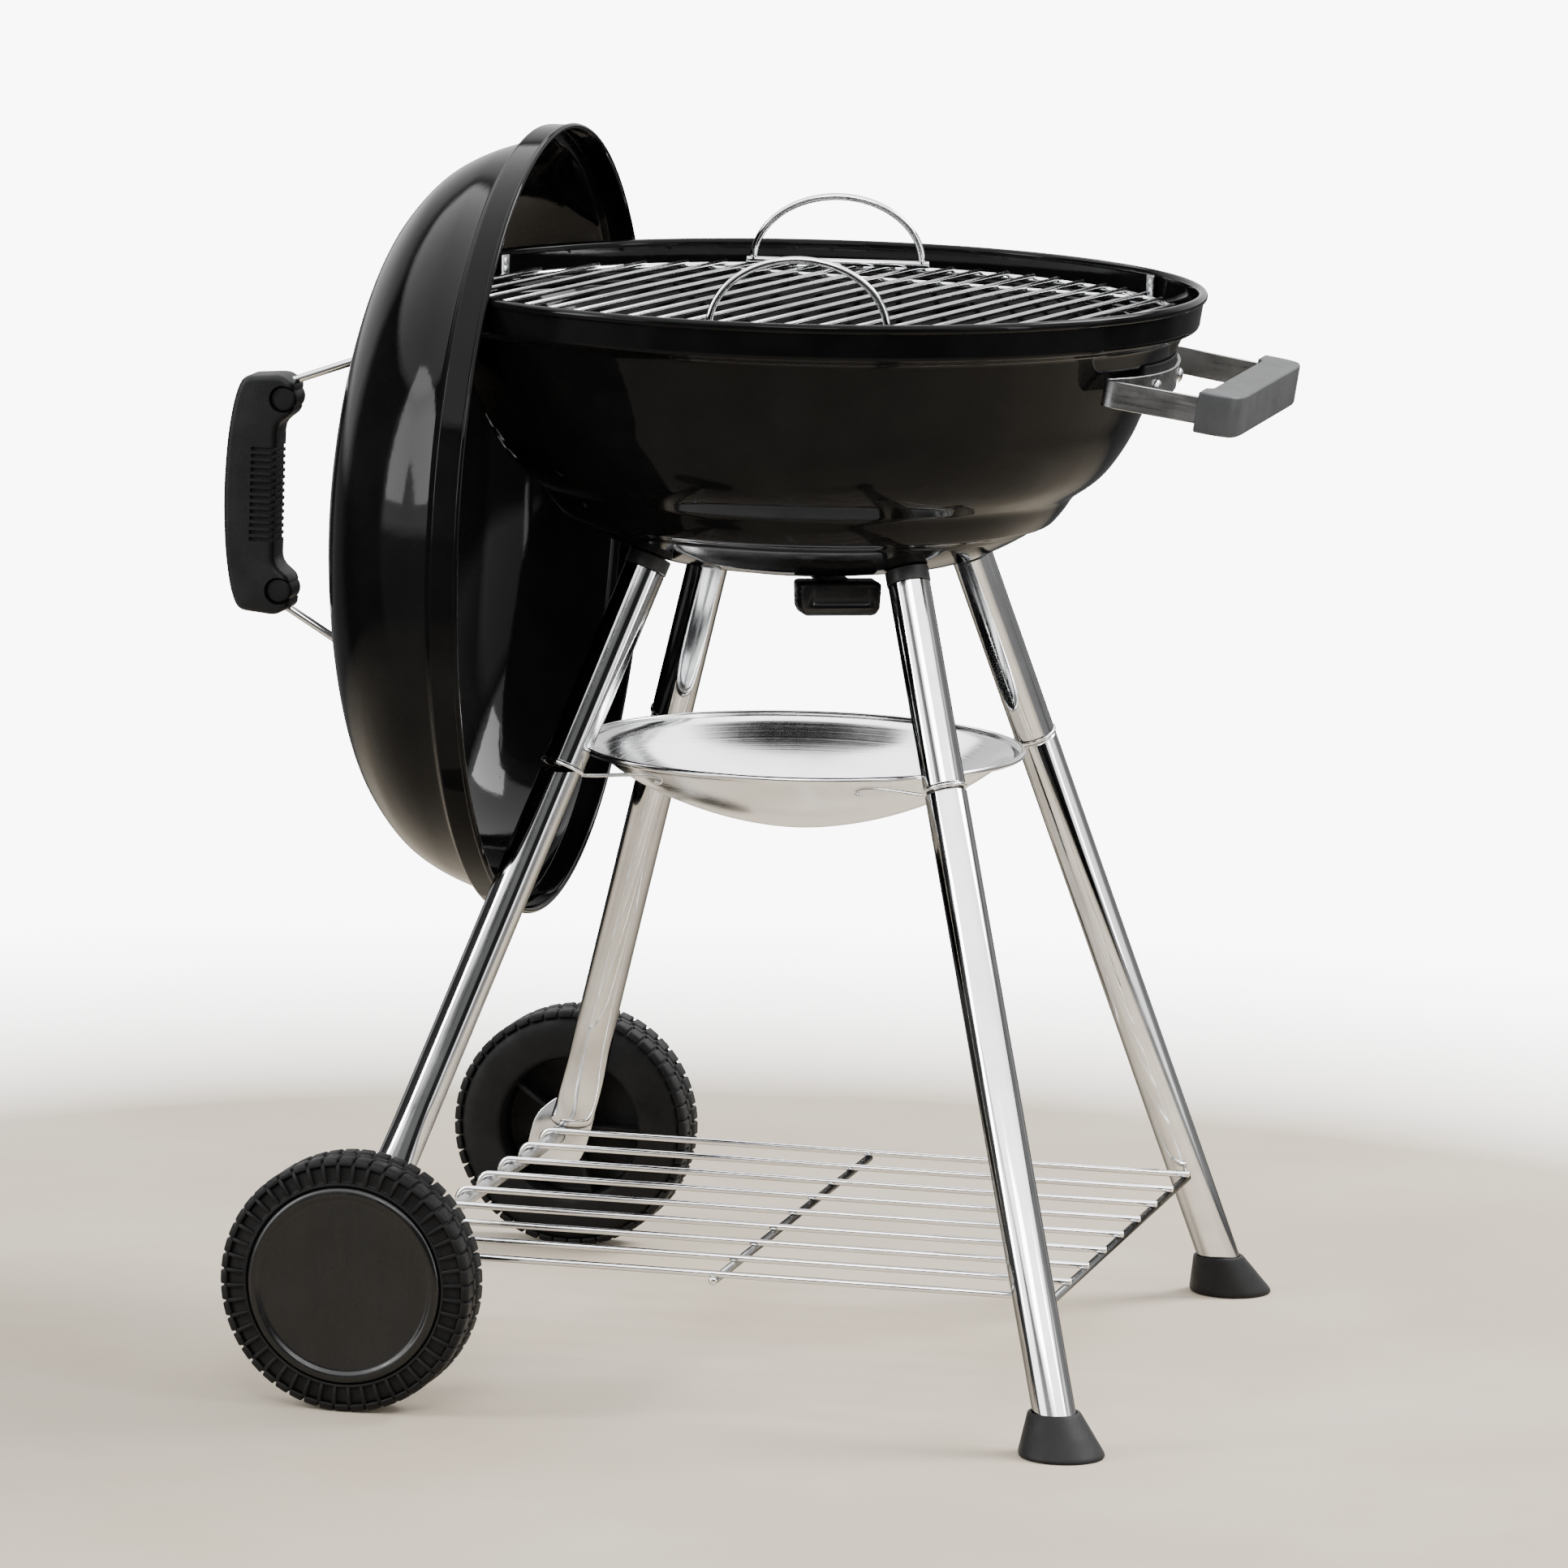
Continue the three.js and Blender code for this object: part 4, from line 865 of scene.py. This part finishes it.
def add_rack():
    wrap = AXLE_R + RACK_WIRE + 0.3
    hook = arc((WHEEL_X, WHEEL_R), wrap, 205, 90, 12)
    shapes = []
    for i in range(RACK_COUNT):
        y = (i - (RACK_COUNT - 1) / 2) * RACK_PITCH
        line = [(x, y, z) for x, z in hook] + [(RACK_RIGHT + 3, y, RACK_Z)]
        shapes.append(wire(line, RACK_WIRE))
    rod_z = RACK_Z - RACK_WIRE - RACK_ROD + 0.6
    half = (RACK_COUNT - 1) / 2 * RACK_PITCH + 3
    shapes.append(wire([(RACK_MIDDLE, -half, rod_z), (RACK_MIDDLE, half, rod_z)], RACK_ROD))
    shapes.append(wire([(RACK_RIGHT, -221, rod_z), (RACK_RIGHT, 221, rod_z)], RACK_ROD))
    put("bottom_rack", merged(shapes), RACK_LOOK)


# ---- Ash dish ----

DISH_Z, DISH_SHEET = 317, 1.2

def add_dish():
    wall = rounded(
        [((0, DISH_Z), 1), ((20, DISH_Z), 20), ((60, 326), 40), ((100, 343), 20), ((124, 360.5), 4),
         ((130.5, 362.3), 2)],
        steps=8,
    )
    bead = arc((132, 363.6), 1.9, -70, 200, 14)
    inside = offset(wall, DISH_SHEET)[::-1]
    inside[-1] = (0, DISH_Z + DISH_SHEET)
    put("ash_dish", lathe(wall[:-1] + bead + inside[1:], 160), DISH)


# ---- Grates ----


GAP = 0.3
WELD = 1.2  # how deep the bars are welded into the ring
GRATE = {"ring_r": 216.5, "ring_wire": 2.5, "height": 627.5, "radius": 1.6, "pitch": 18.8}
COAL = {"ring_r": 160, "ring_wire": 2.5, "height": 527, "radius": 2.2, "pitch": 20}
GRATE_TURN, ARCH_TURN = -10, 9.6
GRATE_CROSSINGS, COAL_CROSSINGS = (-150, 150), (-70, 70)
ARCH_HALF, ARCH_RISE, ARCH_WIRE = 51.5, 40, 2.2
ARCH_PLACES = {"near": (34, -180), "far": (-27, 180)}


def grate(crossings, ring_r, ring_wire, height, radius, pitch):
    """A ring with bars across it on top, and cross wires under the bars."""
    bar_z = height + ring_wire + radius - WELD
    shapes = [wire(circle(ring_r, height, 160), ring_wire, 16, True)]
    count = int((ring_r - 8) // pitch)
    for i in range(-count, count + 1):
        x = i * pitch
        half = math.sqrt(ring_r**2 - x**2) - 1
        shapes.append(wire([(x, -half, bar_z), (x, half, bar_z)], radius, 14))
    for y in crossings:
        half = math.sqrt(ring_r**2 - y**2) - 1
        shapes.append(wire([(-half, y, height + 0.6), (half, y, height + 0.6)], radius, 14))
    return merged(shapes)


def add_grates():
    turn = turned(GRATE_TURN, "Z")
    put("cooking_grate", grate(GRATE_CROSSINGS, **GRATE), WIRE, turn)
    bars_top = GRATE["height"] + GRATE["ring_wire"] + 2 * GRATE["radius"] - WELD
    foot_z = bars_top + GAP + ARCH_WIRE
    angles = [math.pi * i / 40 for i in range(41)]
    arch = [(-ARCH_HALF * math.cos(a), 0, foot_z + ARCH_RISE * math.sin(a)) for a in angles]
    foot = [(-ARCH_HALF - 3.6, 0, foot_z), (ARCH_HALF + 3.6, 0, foot_z)]
    shape = merged([wire(arch, ARCH_WIRE, 20), wire(foot, ARCH_WIRE, 20)])
    for name, (x, y) in ARCH_PLACES.items():
        place = shift((x, y, 0)) @ turned(ARCH_TURN, "Z")
        put("grate_handle_" + name, shape, CHROME, place)
    put("charcoal_grate", grate(COAL_CROSSINGS, **COAL), BLACK_STEEL)


# ---- Side handle ----

SIDE_X, SIDE_Z, SIDE_ARC = 197, 596.5, 217
SIDE_DROOP = 8
SIDE_FRAME = (
    shift((SIDE_X, 0, SIDE_Z))
    @ turned(SIDE_DROOP, "Y")
    @ shift((-SIDE_X, 0, 0))
)
STRAP_HALF, STRAP_HIGH, STRAP_EDGE = 1.0, 8, 0.4
SIDE_BLOCK_HALF, SIDE_BLOCK_LOW, SIDE_BLOCK_HIGH = 47.5, -11, 13
SIDE_BOLTS = {"near": -8.5, "far": 8.5}


def strap_line():
    arm = [((SIDE_X + 4, 94.5), 2), ((SIDE_X + 7, 95), 2), ((SIDE_X + 57, 91), 3),
           ((SIDE_X + 66, 89.5), 4), ((SIDE_X + 70, 85), 4)]
    back = [((x, -y), cut) for (x, y), cut in arm][::-1]
    curve = [(p, 3) for p in arc((0, 0), SIDE_ARC, -25.3, 25.3, 24)]
    return rounded(curve + arm + back, closed=True)


def side_strap():
    line = strap_line()
    half, high, edge = STRAP_HALF, STRAP_HIGH, STRAP_EDGE
    section = [(-half + edge, -high), (half - edge, -high), (half, -high + edge), (half, high - edge),
               (half - edge, high), (-half + edge, high), (-half, high - edge), (-half, -high + edge)]
    loops = [offset(line, out, True) for out, _ in section]
    return loft([[(*loop[i], z) for loop, (_, z) in zip(loops, section)] for i in range(len(line))], True)


def side_block():
    """Cut to the bowl's slope behind and to the strap's curve in front."""
    rows = []
    for i in range(33):
        y = (i / 16 - 1) * SIDE_BLOCK_HALF
        front = math.sqrt((SIDE_ARC - 1.4) ** 2 - y * y)
        low, high = [], []
        for row, z in ((low, SIDE_BLOCK_LOW), (high, SIDE_BLOCK_HIGH)):
            reach = 199.3 + ((SIDE_FRAME @ Vector((200, y, z))).z - 573) / 2
            back = math.sqrt(reach**2 - y * y) + 0.8
            row.extend([(min(back, front - 2), y, z), (front, y, z)])
        rows.append([*low, *high[::-1]])
    return bevelled(loft(rows), 0.9, 3, 40)


def side_bolt():
    """A domed head with a cross slot, pointing along Z."""
    head = SIDE_ARC + 1.5
    dome = rounded([((0, head + 2.5), 1), ((2.6, head + 2.3), 1.2), ((4.2, head + 0.9), 0.8),
                    ((4.5, head), 0.2), ((2.6, head), 0.1), ((2.6, 200), 0.1), ((0, 200), 0.1)])
    slots = [block((-x, -y, head + 1.3), (x, y, head + 4)) for x, y in ((2.2, 0.5), (0.5, 2.2))]
    return drilled(lathe(dome, 48), [merged(slots)])


def side_grip():
    half = [((253, -80), 1), ((253, -100), 2), ((268, -100), 6), ((276.5, -95), 6), ((278.4, -82), 8),
            ((278.4, 0), 1)]
    mirrored = [((x, -y), cut) for (x, y), cut in half[:-1]][::-1]
    back = [((256.5, 75), 3), ((256.5, -75), 3)]
    outline = rounded(half[:-1] + mirrored + back, steps=3, closed=True)
    return bevelled(prism(outline, -12, 12.3), 3.6, 5, 60)


def add_side_handle():
    put("side_handle_strap", side_strap(), STRAP, SIDE_FRAME, 30)
    put("side_handle_block", side_block(), BLACK, SIDE_FRAME)
    for name, angle in SIDE_BOLTS.items():
        turn = turned(angle, "Z") @ turned(90, "Y")
        put("side_handle_bolt_" + name, moved(side_bolt(), turn), STEEL, SIDE_FRAME)
    put("side_handle_grip", side_grip(), SIDE_GREY, SIDE_FRAME, 50)


# ---- Lid ----

LID_R = 236.5
LID_TILT, LID_YAW = math.radians(-0.5), math.radians(0.65)
LID_FRAME = (
    shift((-153.6, 0, 492))
    @ Matrix.Rotation(LID_YAW, 4, "Z")
    @ Matrix.Rotation(-math.pi / 2 - LID_TILT, 4, "Y")
)
LID_TOP = 129.8
HEM_R = 1.8
LID_WALL = [
    ((235.2, 4.2), 0.5), ((235.2, 17), 1.6), ((227.5, 20), 2.2), ((223.5, 30), 30), ((219.5, 42), 30),
    ((213.5, 55), 30), ((205, 68), 30), ((192, 80), 30), ((177.5, 90), 30), ((157, 98), 30),
    ((133, 105), 30), ((107, 112), 30), ((80, 119), 30), ((57, 125), 30), ((30, 129), 30),
    ((0, LID_TOP), 1),
]
VENT_PLATE_R, LID_VENT_REACH, LID_VENT_R, LID_HOLES = 36, 105, 8, 4
HOLE_REACH = 21


def dome_at(radius):
    plain = [p for p, _ in LID_WALL]
    for (r0, z0), (r1, z1) in zip(plain, plain[1:]):
        if r1 < radius <= r0:
            slope = (z1 - z0) / (r0 - r1)
            return z0 + (r0 - radius) * slope, math.atan(slope)
    return plain[0][1], 0.0


def vent_frame():
    height, tilt = dome_at(LID_VENT_REACH)
    return shift((0, LID_VENT_REACH, height)) @ Matrix.Rotation(-tilt, 4, "X")


ENDS = {"upper": 1, "lower": -1}
BAIL_FOOT, BAIL_REACH = Vector((92, 115.9)), Vector((66.5, 169.5))
GRIP_HALF, GRIP_WIDTH = 73, 28
GRIP_TOP, GRIP_UNDER, GRIP_LOBE = 204, 171.5, 161.5
GRIP_LIFT = 5.5  # the grip sits this far above the middle of the bail's feet
GRIP_GROOVES, GROOVE_PITCH, GROOVE_HALF = 14, 4.2, 1.2
INSERT_X, INSERT_Z, INSERT_R = 58, GRIP_LOBE + 6.5, 8


def bail_lean(side):
    """The bail's lean at one end, where it goes through the dome."""
    return math.atan2(BAIL_FOOT.x - BAIL_REACH.x - side * GRIP_LIFT, BAIL_REACH.y - BAIL_FOOT.y)


def bail_line():
    halves = []
    for side in (1, -1):
        foot = (side * (BAIL_FOOT.x + 12 * math.tan(bail_lean(side))), 0, BAIL_FOOT.y - 12)
        bends = (tuple(BAIL_REACH), (61, 180), (54, 186), (45, 187.5))
        halves.append([foot, *[(side * x + GRIP_LIFT, 0, z) for x, z in bends]])
    return halves[0] + halves[1][::-1]


def add_lid_shell():
    outside = rounded(LID_WALL, steps=6)
    inside = offset(outside, SHEET)[::-1]
    inside[0] = (0, LID_TOP - SHEET)
    hem = arc((LID_R - HEM_R, HEM_R), HEM_R, 60, -200, 18)
    shell = lathe(outside[1:] + inside + hem[::-1], 192)
    vent = round_bar((HOLE_REACH, 0, -10), (HOLE_REACH, 0, 10), LID_VENT_R, 40)
    holes = moved(spun(LID_HOLES, vent), vent_frame())
    put("lid", drilled(shell, [holes]), ENAMEL, LID_FRAME)


def add_lid_hook():
    """The bent strap inside the lid that hangs on the bowl's rim."""
    line = rounded(
        [((-217.5, 694.8), 1), ((-229.1, 682.4), 8), ((-238.9, 668.6), 8), ((-243, 651), 4),
         ((-240, 645), 3), ((-236, 644.2), 2), ((-224.7, 644.2), 2), ((-222.7, 642.2), 2),
         ((-222.7, 633), 1)],
    )
    put("lid_hook", strip(line, 1.5, 20), STEEL)


def add_bail():
    bail = rounded(bail_line(), cut=9, steps=6)
    put("lid_handle_bail", wire(bail, 2.5, 20), CHROME, LID_FRAME)


def grip_body():
    """The moulded grip along X, with its front along Y."""
    side = [((36, GRIP_TOP - 2), 12), ((60, GRIP_TOP - 6), 10), ((GRIP_HALF - 2, GRIP_TOP - 11), 5),
            ((GRIP_HALF, GRIP_LOBE + 8), 4), ((GRIP_HALF - 5, GRIP_LOBE), 3), ((50, GRIP_LOBE), 4),
            ((42, GRIP_UNDER), 5)]
    mirrored = [((-x, z), cut) for (x, z), cut in side][::-1]
    outline = rounded([((0, GRIP_TOP), 30)] + side + mirrored, closed=True)
    body = bevelled(prism(outline, -GRIP_WIDTH / 2, GRIP_WIDTH / 2), 4.0, 5, 60)
    # finger grooves run up both sides of the middle and across the inner face
    for i in range(GRIP_GROOVES):
        x = (i - (GRIP_GROOVES - 1) / 2) * GROOVE_PITCH
        for low, high, top in ((-20, -12.2, 15), (12.2, 20, 15), (-16, 16, 1.5)):
            groove = block((x - GROOVE_HALF, GRIP_UNDER - 3, low), (x + GROOVE_HALF, GRIP_UNDER + top, high))
            body = drilled(body, [groove])
    for x in (INSERT_X, -INSERT_X):
        body = drilled(body, [round_bar((x, INSERT_Z, -30), (x, INSERT_Z, 30), INSERT_R + 0.2, 48)])
    return body


def add_lid_grip():
    turn = turned(90, "X")
    lifted = shift((GRIP_LIFT, 0, 0)) @ turn
    put("lid_handle_grip", moved(grip_body(), lifted), LID_GREY, LID_FRAME, 32)
    insert = lathe(rounded([((0, -12), 1), ((6.6, -12), 1.2), ((INSERT_R, -10.6), 1.2),
                            ((INSERT_R, 10.6), 1.2), ((6.6, 12), 1.2), ((0, 12), 1)]), 48)
    for name, end in ENDS.items():
        place = shift((end * INSERT_X + GRIP_LIFT, 0, INSERT_Z)) @ turn
        put("lid_grip_insert_" + name, moved(insert, place), BLACK, LID_FRAME)


def add_bail_nuts():
    for name, side in ENDS.items():
        lean = bail_lean(side)
        top = -6 * math.tan(lean + dome_at(BAIL_FOOT.x)[1]) - 1.8
        nut = bevelled(prism(hexagon(6), top - 4.2, top), 0.5)
        foot = shift((side * BAIL_FOOT.x, 0, BAIL_FOOT.y))
        place = foot @ Matrix.Rotation(-side * lean, 4, "Y")
        put("bail_nut_" + name, moved(nut, place), STEEL, LID_FRAME)


def add_lid_vent():
    place = LID_FRAME @ vent_frame()
    low, high, edge = 0.8, 2, 0.3
    disc = lathe([(0, low), (VENT_PLATE_R - edge, low), (VENT_PLATE_R, low + edge),
                  (VENT_PLATE_R, high - edge), (VENT_PLATE_R - edge, high), (0, high)], 96)
    hole = round_bar((HOLE_REACH, 0, -2), (HOLE_REACH, 0, 6), LID_VENT_R, 40)
    tab_line = rounded([(24, 1.4), (28.6, 1.4), (28.6, 12.9)], cut=2)
    tab = moved(strip(tab_line, high - low, 14), turned(45, "Z"))
    plate = drilled(disc, [spun(LID_HOLES, hole)])
    put("lid_vent_plate", merged([plate, tab]), STEEL, place)
    pin = [(0, -3.6), (3, -3.5), (4.3, -2.6), (4.4, -2.1), (2.4, -2.1), (2.4, 2.3), (4.5, 2.3),
           (4.2, 3.2), (2.8, 3.8), (0, 3.9)]
    put("lid_vent_rivet", lathe(pin, 40), STEEL, place)


def add_lid():
    add_lid_shell()
    add_lid_hook()
    add_bail()
    add_lid_grip()
    add_bail_nuts()
    add_lid_vent()


# ---- Studio ----


# Each light's place, target, width, height and power.
LIGHTS = {
    "key": ((1.9, 1.3, 2.7), (0, 0, 0.4), 1.3, 1.3, 130),
    "left": ((-2.6, -1.6, 1.7), (0, 0, 0.5), 0.7, 1.8, 60),
    "front": ((0.6, -3.6, 3.0), (0, 0, 0.4), 1.6, 0.9, 55),
    "right": ((3.0, -0.9, 1.2), (0, 0, 0.4), 0.4, 2.2, 26),
}
# What the shiny parts mirror round the studio: turns from +X in degrees, and brightness.
STUDIO_ROUND = [(-180, 0.08), (-160, 0.08), (-155, 5), (-128, 5), (-124, 0.6), (-104, 0.6),
                (-98, 0.2), (-66, 0.2), (-60, 0.02), (-38, 0.02), (-33, 2.4), (16, 2.4),
                (24, 0.5), (52, 0.5), (60, 1.3), (148, 1.3), (156, 0.08), (180, 0.08)]
# The same from straight down to straight up, and a wide soft box overhead.
STUDIO_UP = [(-1, 0.08), (-0.04, 0.12), (0.02, 1.0), (0.42, 0.7), (0.5, 0.05), (1, 0.0)]
STUDIO_TOP = [(-1, 0.0), (0.5, 0.0), (0.54, 4), (1, 4)]
AMBIENT, AMBIENT_COLOR = 0.75, (0.88, 0.93, 1.0, 1)
BACKDROP, BACKDROP_COLOR = 9, (1, 1, 1, 1)
FLOOR_R, FLOOR_SIDES, FLOOR_DROP = 2.6, 96, 0.0002
FADE_START, FADE_END = 0.8, 1.5  # the floor fades out into the backdrop between these radii


def soft_light(name, place, target, width, height, power):
    data = bpy.data.lights.new(name, "AREA")
    data.shape = "RECTANGLE"
    data.size, data.size_y = width, height
    data.energy = power
    lamp = bpy.data.objects.new(name, data)
    lamp.location = place
    direction = Vector(target) - Vector(place)
    lamp.rotation_euler = direction.to_track_quat("-Z", "Y").to_euler()
    bpy.context.scene.collection.objects.link(lamp)


def ramp(nodes, links, value, low, high, stops):
    """A brightness that follows a value through stops."""
    scale = nodes.new("ShaderNodeMapRange")
    scale.inputs["From Min"].default_value = low
    scale.inputs["From Max"].default_value = high
    links.new(value, scale.inputs["Value"])
    node = nodes.new("ShaderNodeValToRGB")
    elements = node.color_ramp.elements
    while len(elements) < len(stops):
        elements.new(0.5)
    for element, (place, _) in zip(elements, stops):
        element.position = (place - low) / (high - low)
    for element, (_, bright) in zip(elements, stops):
        element.color = (bright, bright, bright, 1)
    links.new(scale.outputs["Result"], node.inputs["Fac"])
    return node.outputs["Color"]


def add_world():
    world = bpy.data.worlds.new("studio")
    bpy.context.scene.world = world
    world.use_nodes = True
    nodes, links = world.node_tree.nodes, world.node_tree.links
    around = nodes["Background"]
    around.inputs["Color"].default_value = AMBIENT_COLOR
    around.inputs["Strength"].default_value = AMBIENT

    split = nodes.new("ShaderNodeSeparateXYZ")
    links.new(nodes.new("ShaderNodeTexCoord").outputs["Generated"], split.inputs[0])
    turn = nodes.new("ShaderNodeMath")
    turn.operation = "ARCTAN2"
    links.new(split.outputs["Y"], turn.inputs[0])
    links.new(split.outputs["X"], turn.inputs[1])
    degrees = nodes.new("ShaderNodeMath")
    degrees.operation = "DEGREES"
    links.new(turn.outputs["Value"], degrees.inputs[0])
    product = nodes.new("ShaderNodeVectorMath")
    product.operation = "MULTIPLY"
    round_ramp = ramp(nodes, links, degrees.outputs["Value"], -180, 180, STUDIO_ROUND)
    links.new(round_ramp, product.inputs[0])
    links.new(ramp(nodes, links, split.outputs["Z"], -1, 1, STUDIO_UP), product.inputs[1])
    total = nodes.new("ShaderNodeVectorMath")
    links.new(product.outputs["Vector"], total.inputs[0])
    links.new(ramp(nodes, links, split.outputs["Z"], -1, 1, STUDIO_TOP), total.inputs[1])
    mirrored = nodes.new("ShaderNodeBackground")
    links.new(total.outputs["Vector"], mirrored.inputs["Color"])

    seen = nodes.new("ShaderNodeBackground")
    seen.inputs["Color"].default_value = BACKDROP_COLOR
    seen.inputs["Strength"].default_value = BACKDROP
    ray = nodes.new("ShaderNodeLightPath")
    result = around.outputs["Background"]
    for is_ray, background in (("Is Glossy Ray", mirrored), ("Is Camera Ray", seen)):
        mix = nodes.new("ShaderNodeMixShader")
        links.new(ray.outputs[is_ray], mix.inputs["Fac"])
        links.new(result, mix.inputs[1])
        links.new(background.outputs["Background"], mix.inputs[2])
        result = mix.outputs["Shader"]
    links.new(result, nodes["World Output"].inputs["Surface"])


def add_studio():
    for name, values in LIGHTS.items():
        soft_light(name, *values)
    add_world()
    data = bpy.data.meshes.new("floor")
    data.from_pydata(circle(FLOOR_R, 0, FLOOR_SIDES), [], [tuple(range(FLOOR_SIDES))])
    floor = bpy.data.objects.new("floor", data)
    floor.location.z = -FLOOR_DROP
    bpy.context.scene.collection.objects.link(floor)
    look = Look("floor", specular=0.2, roughness=0.85)
    look.colors(look.noise(3.5, 8), 0.35, 0.7, (0.7, 0.59, 0.445), (0.8, 0.7, 0.56))
    look.bump(look.noise(160, 6), 0.25, 0.001)
    reach = look.node("VectorMath")
    reach.operation = "LENGTH"
    look.links.new(look.place, reach.inputs[0])
    fade = look.spread(reach.outputs["Value"], FADE_START, FADE_END, 1.0, 0.0)
    look.links.new(fade, look.shader.inputs["Alpha"])
    data.materials.append(look.material)


add_bowl()
add_brackets()
add_damper()
add_legs()
add_wheels()
add_rack()
add_dish()
add_grates()
add_side_handle()
add_lid()
add_studio()
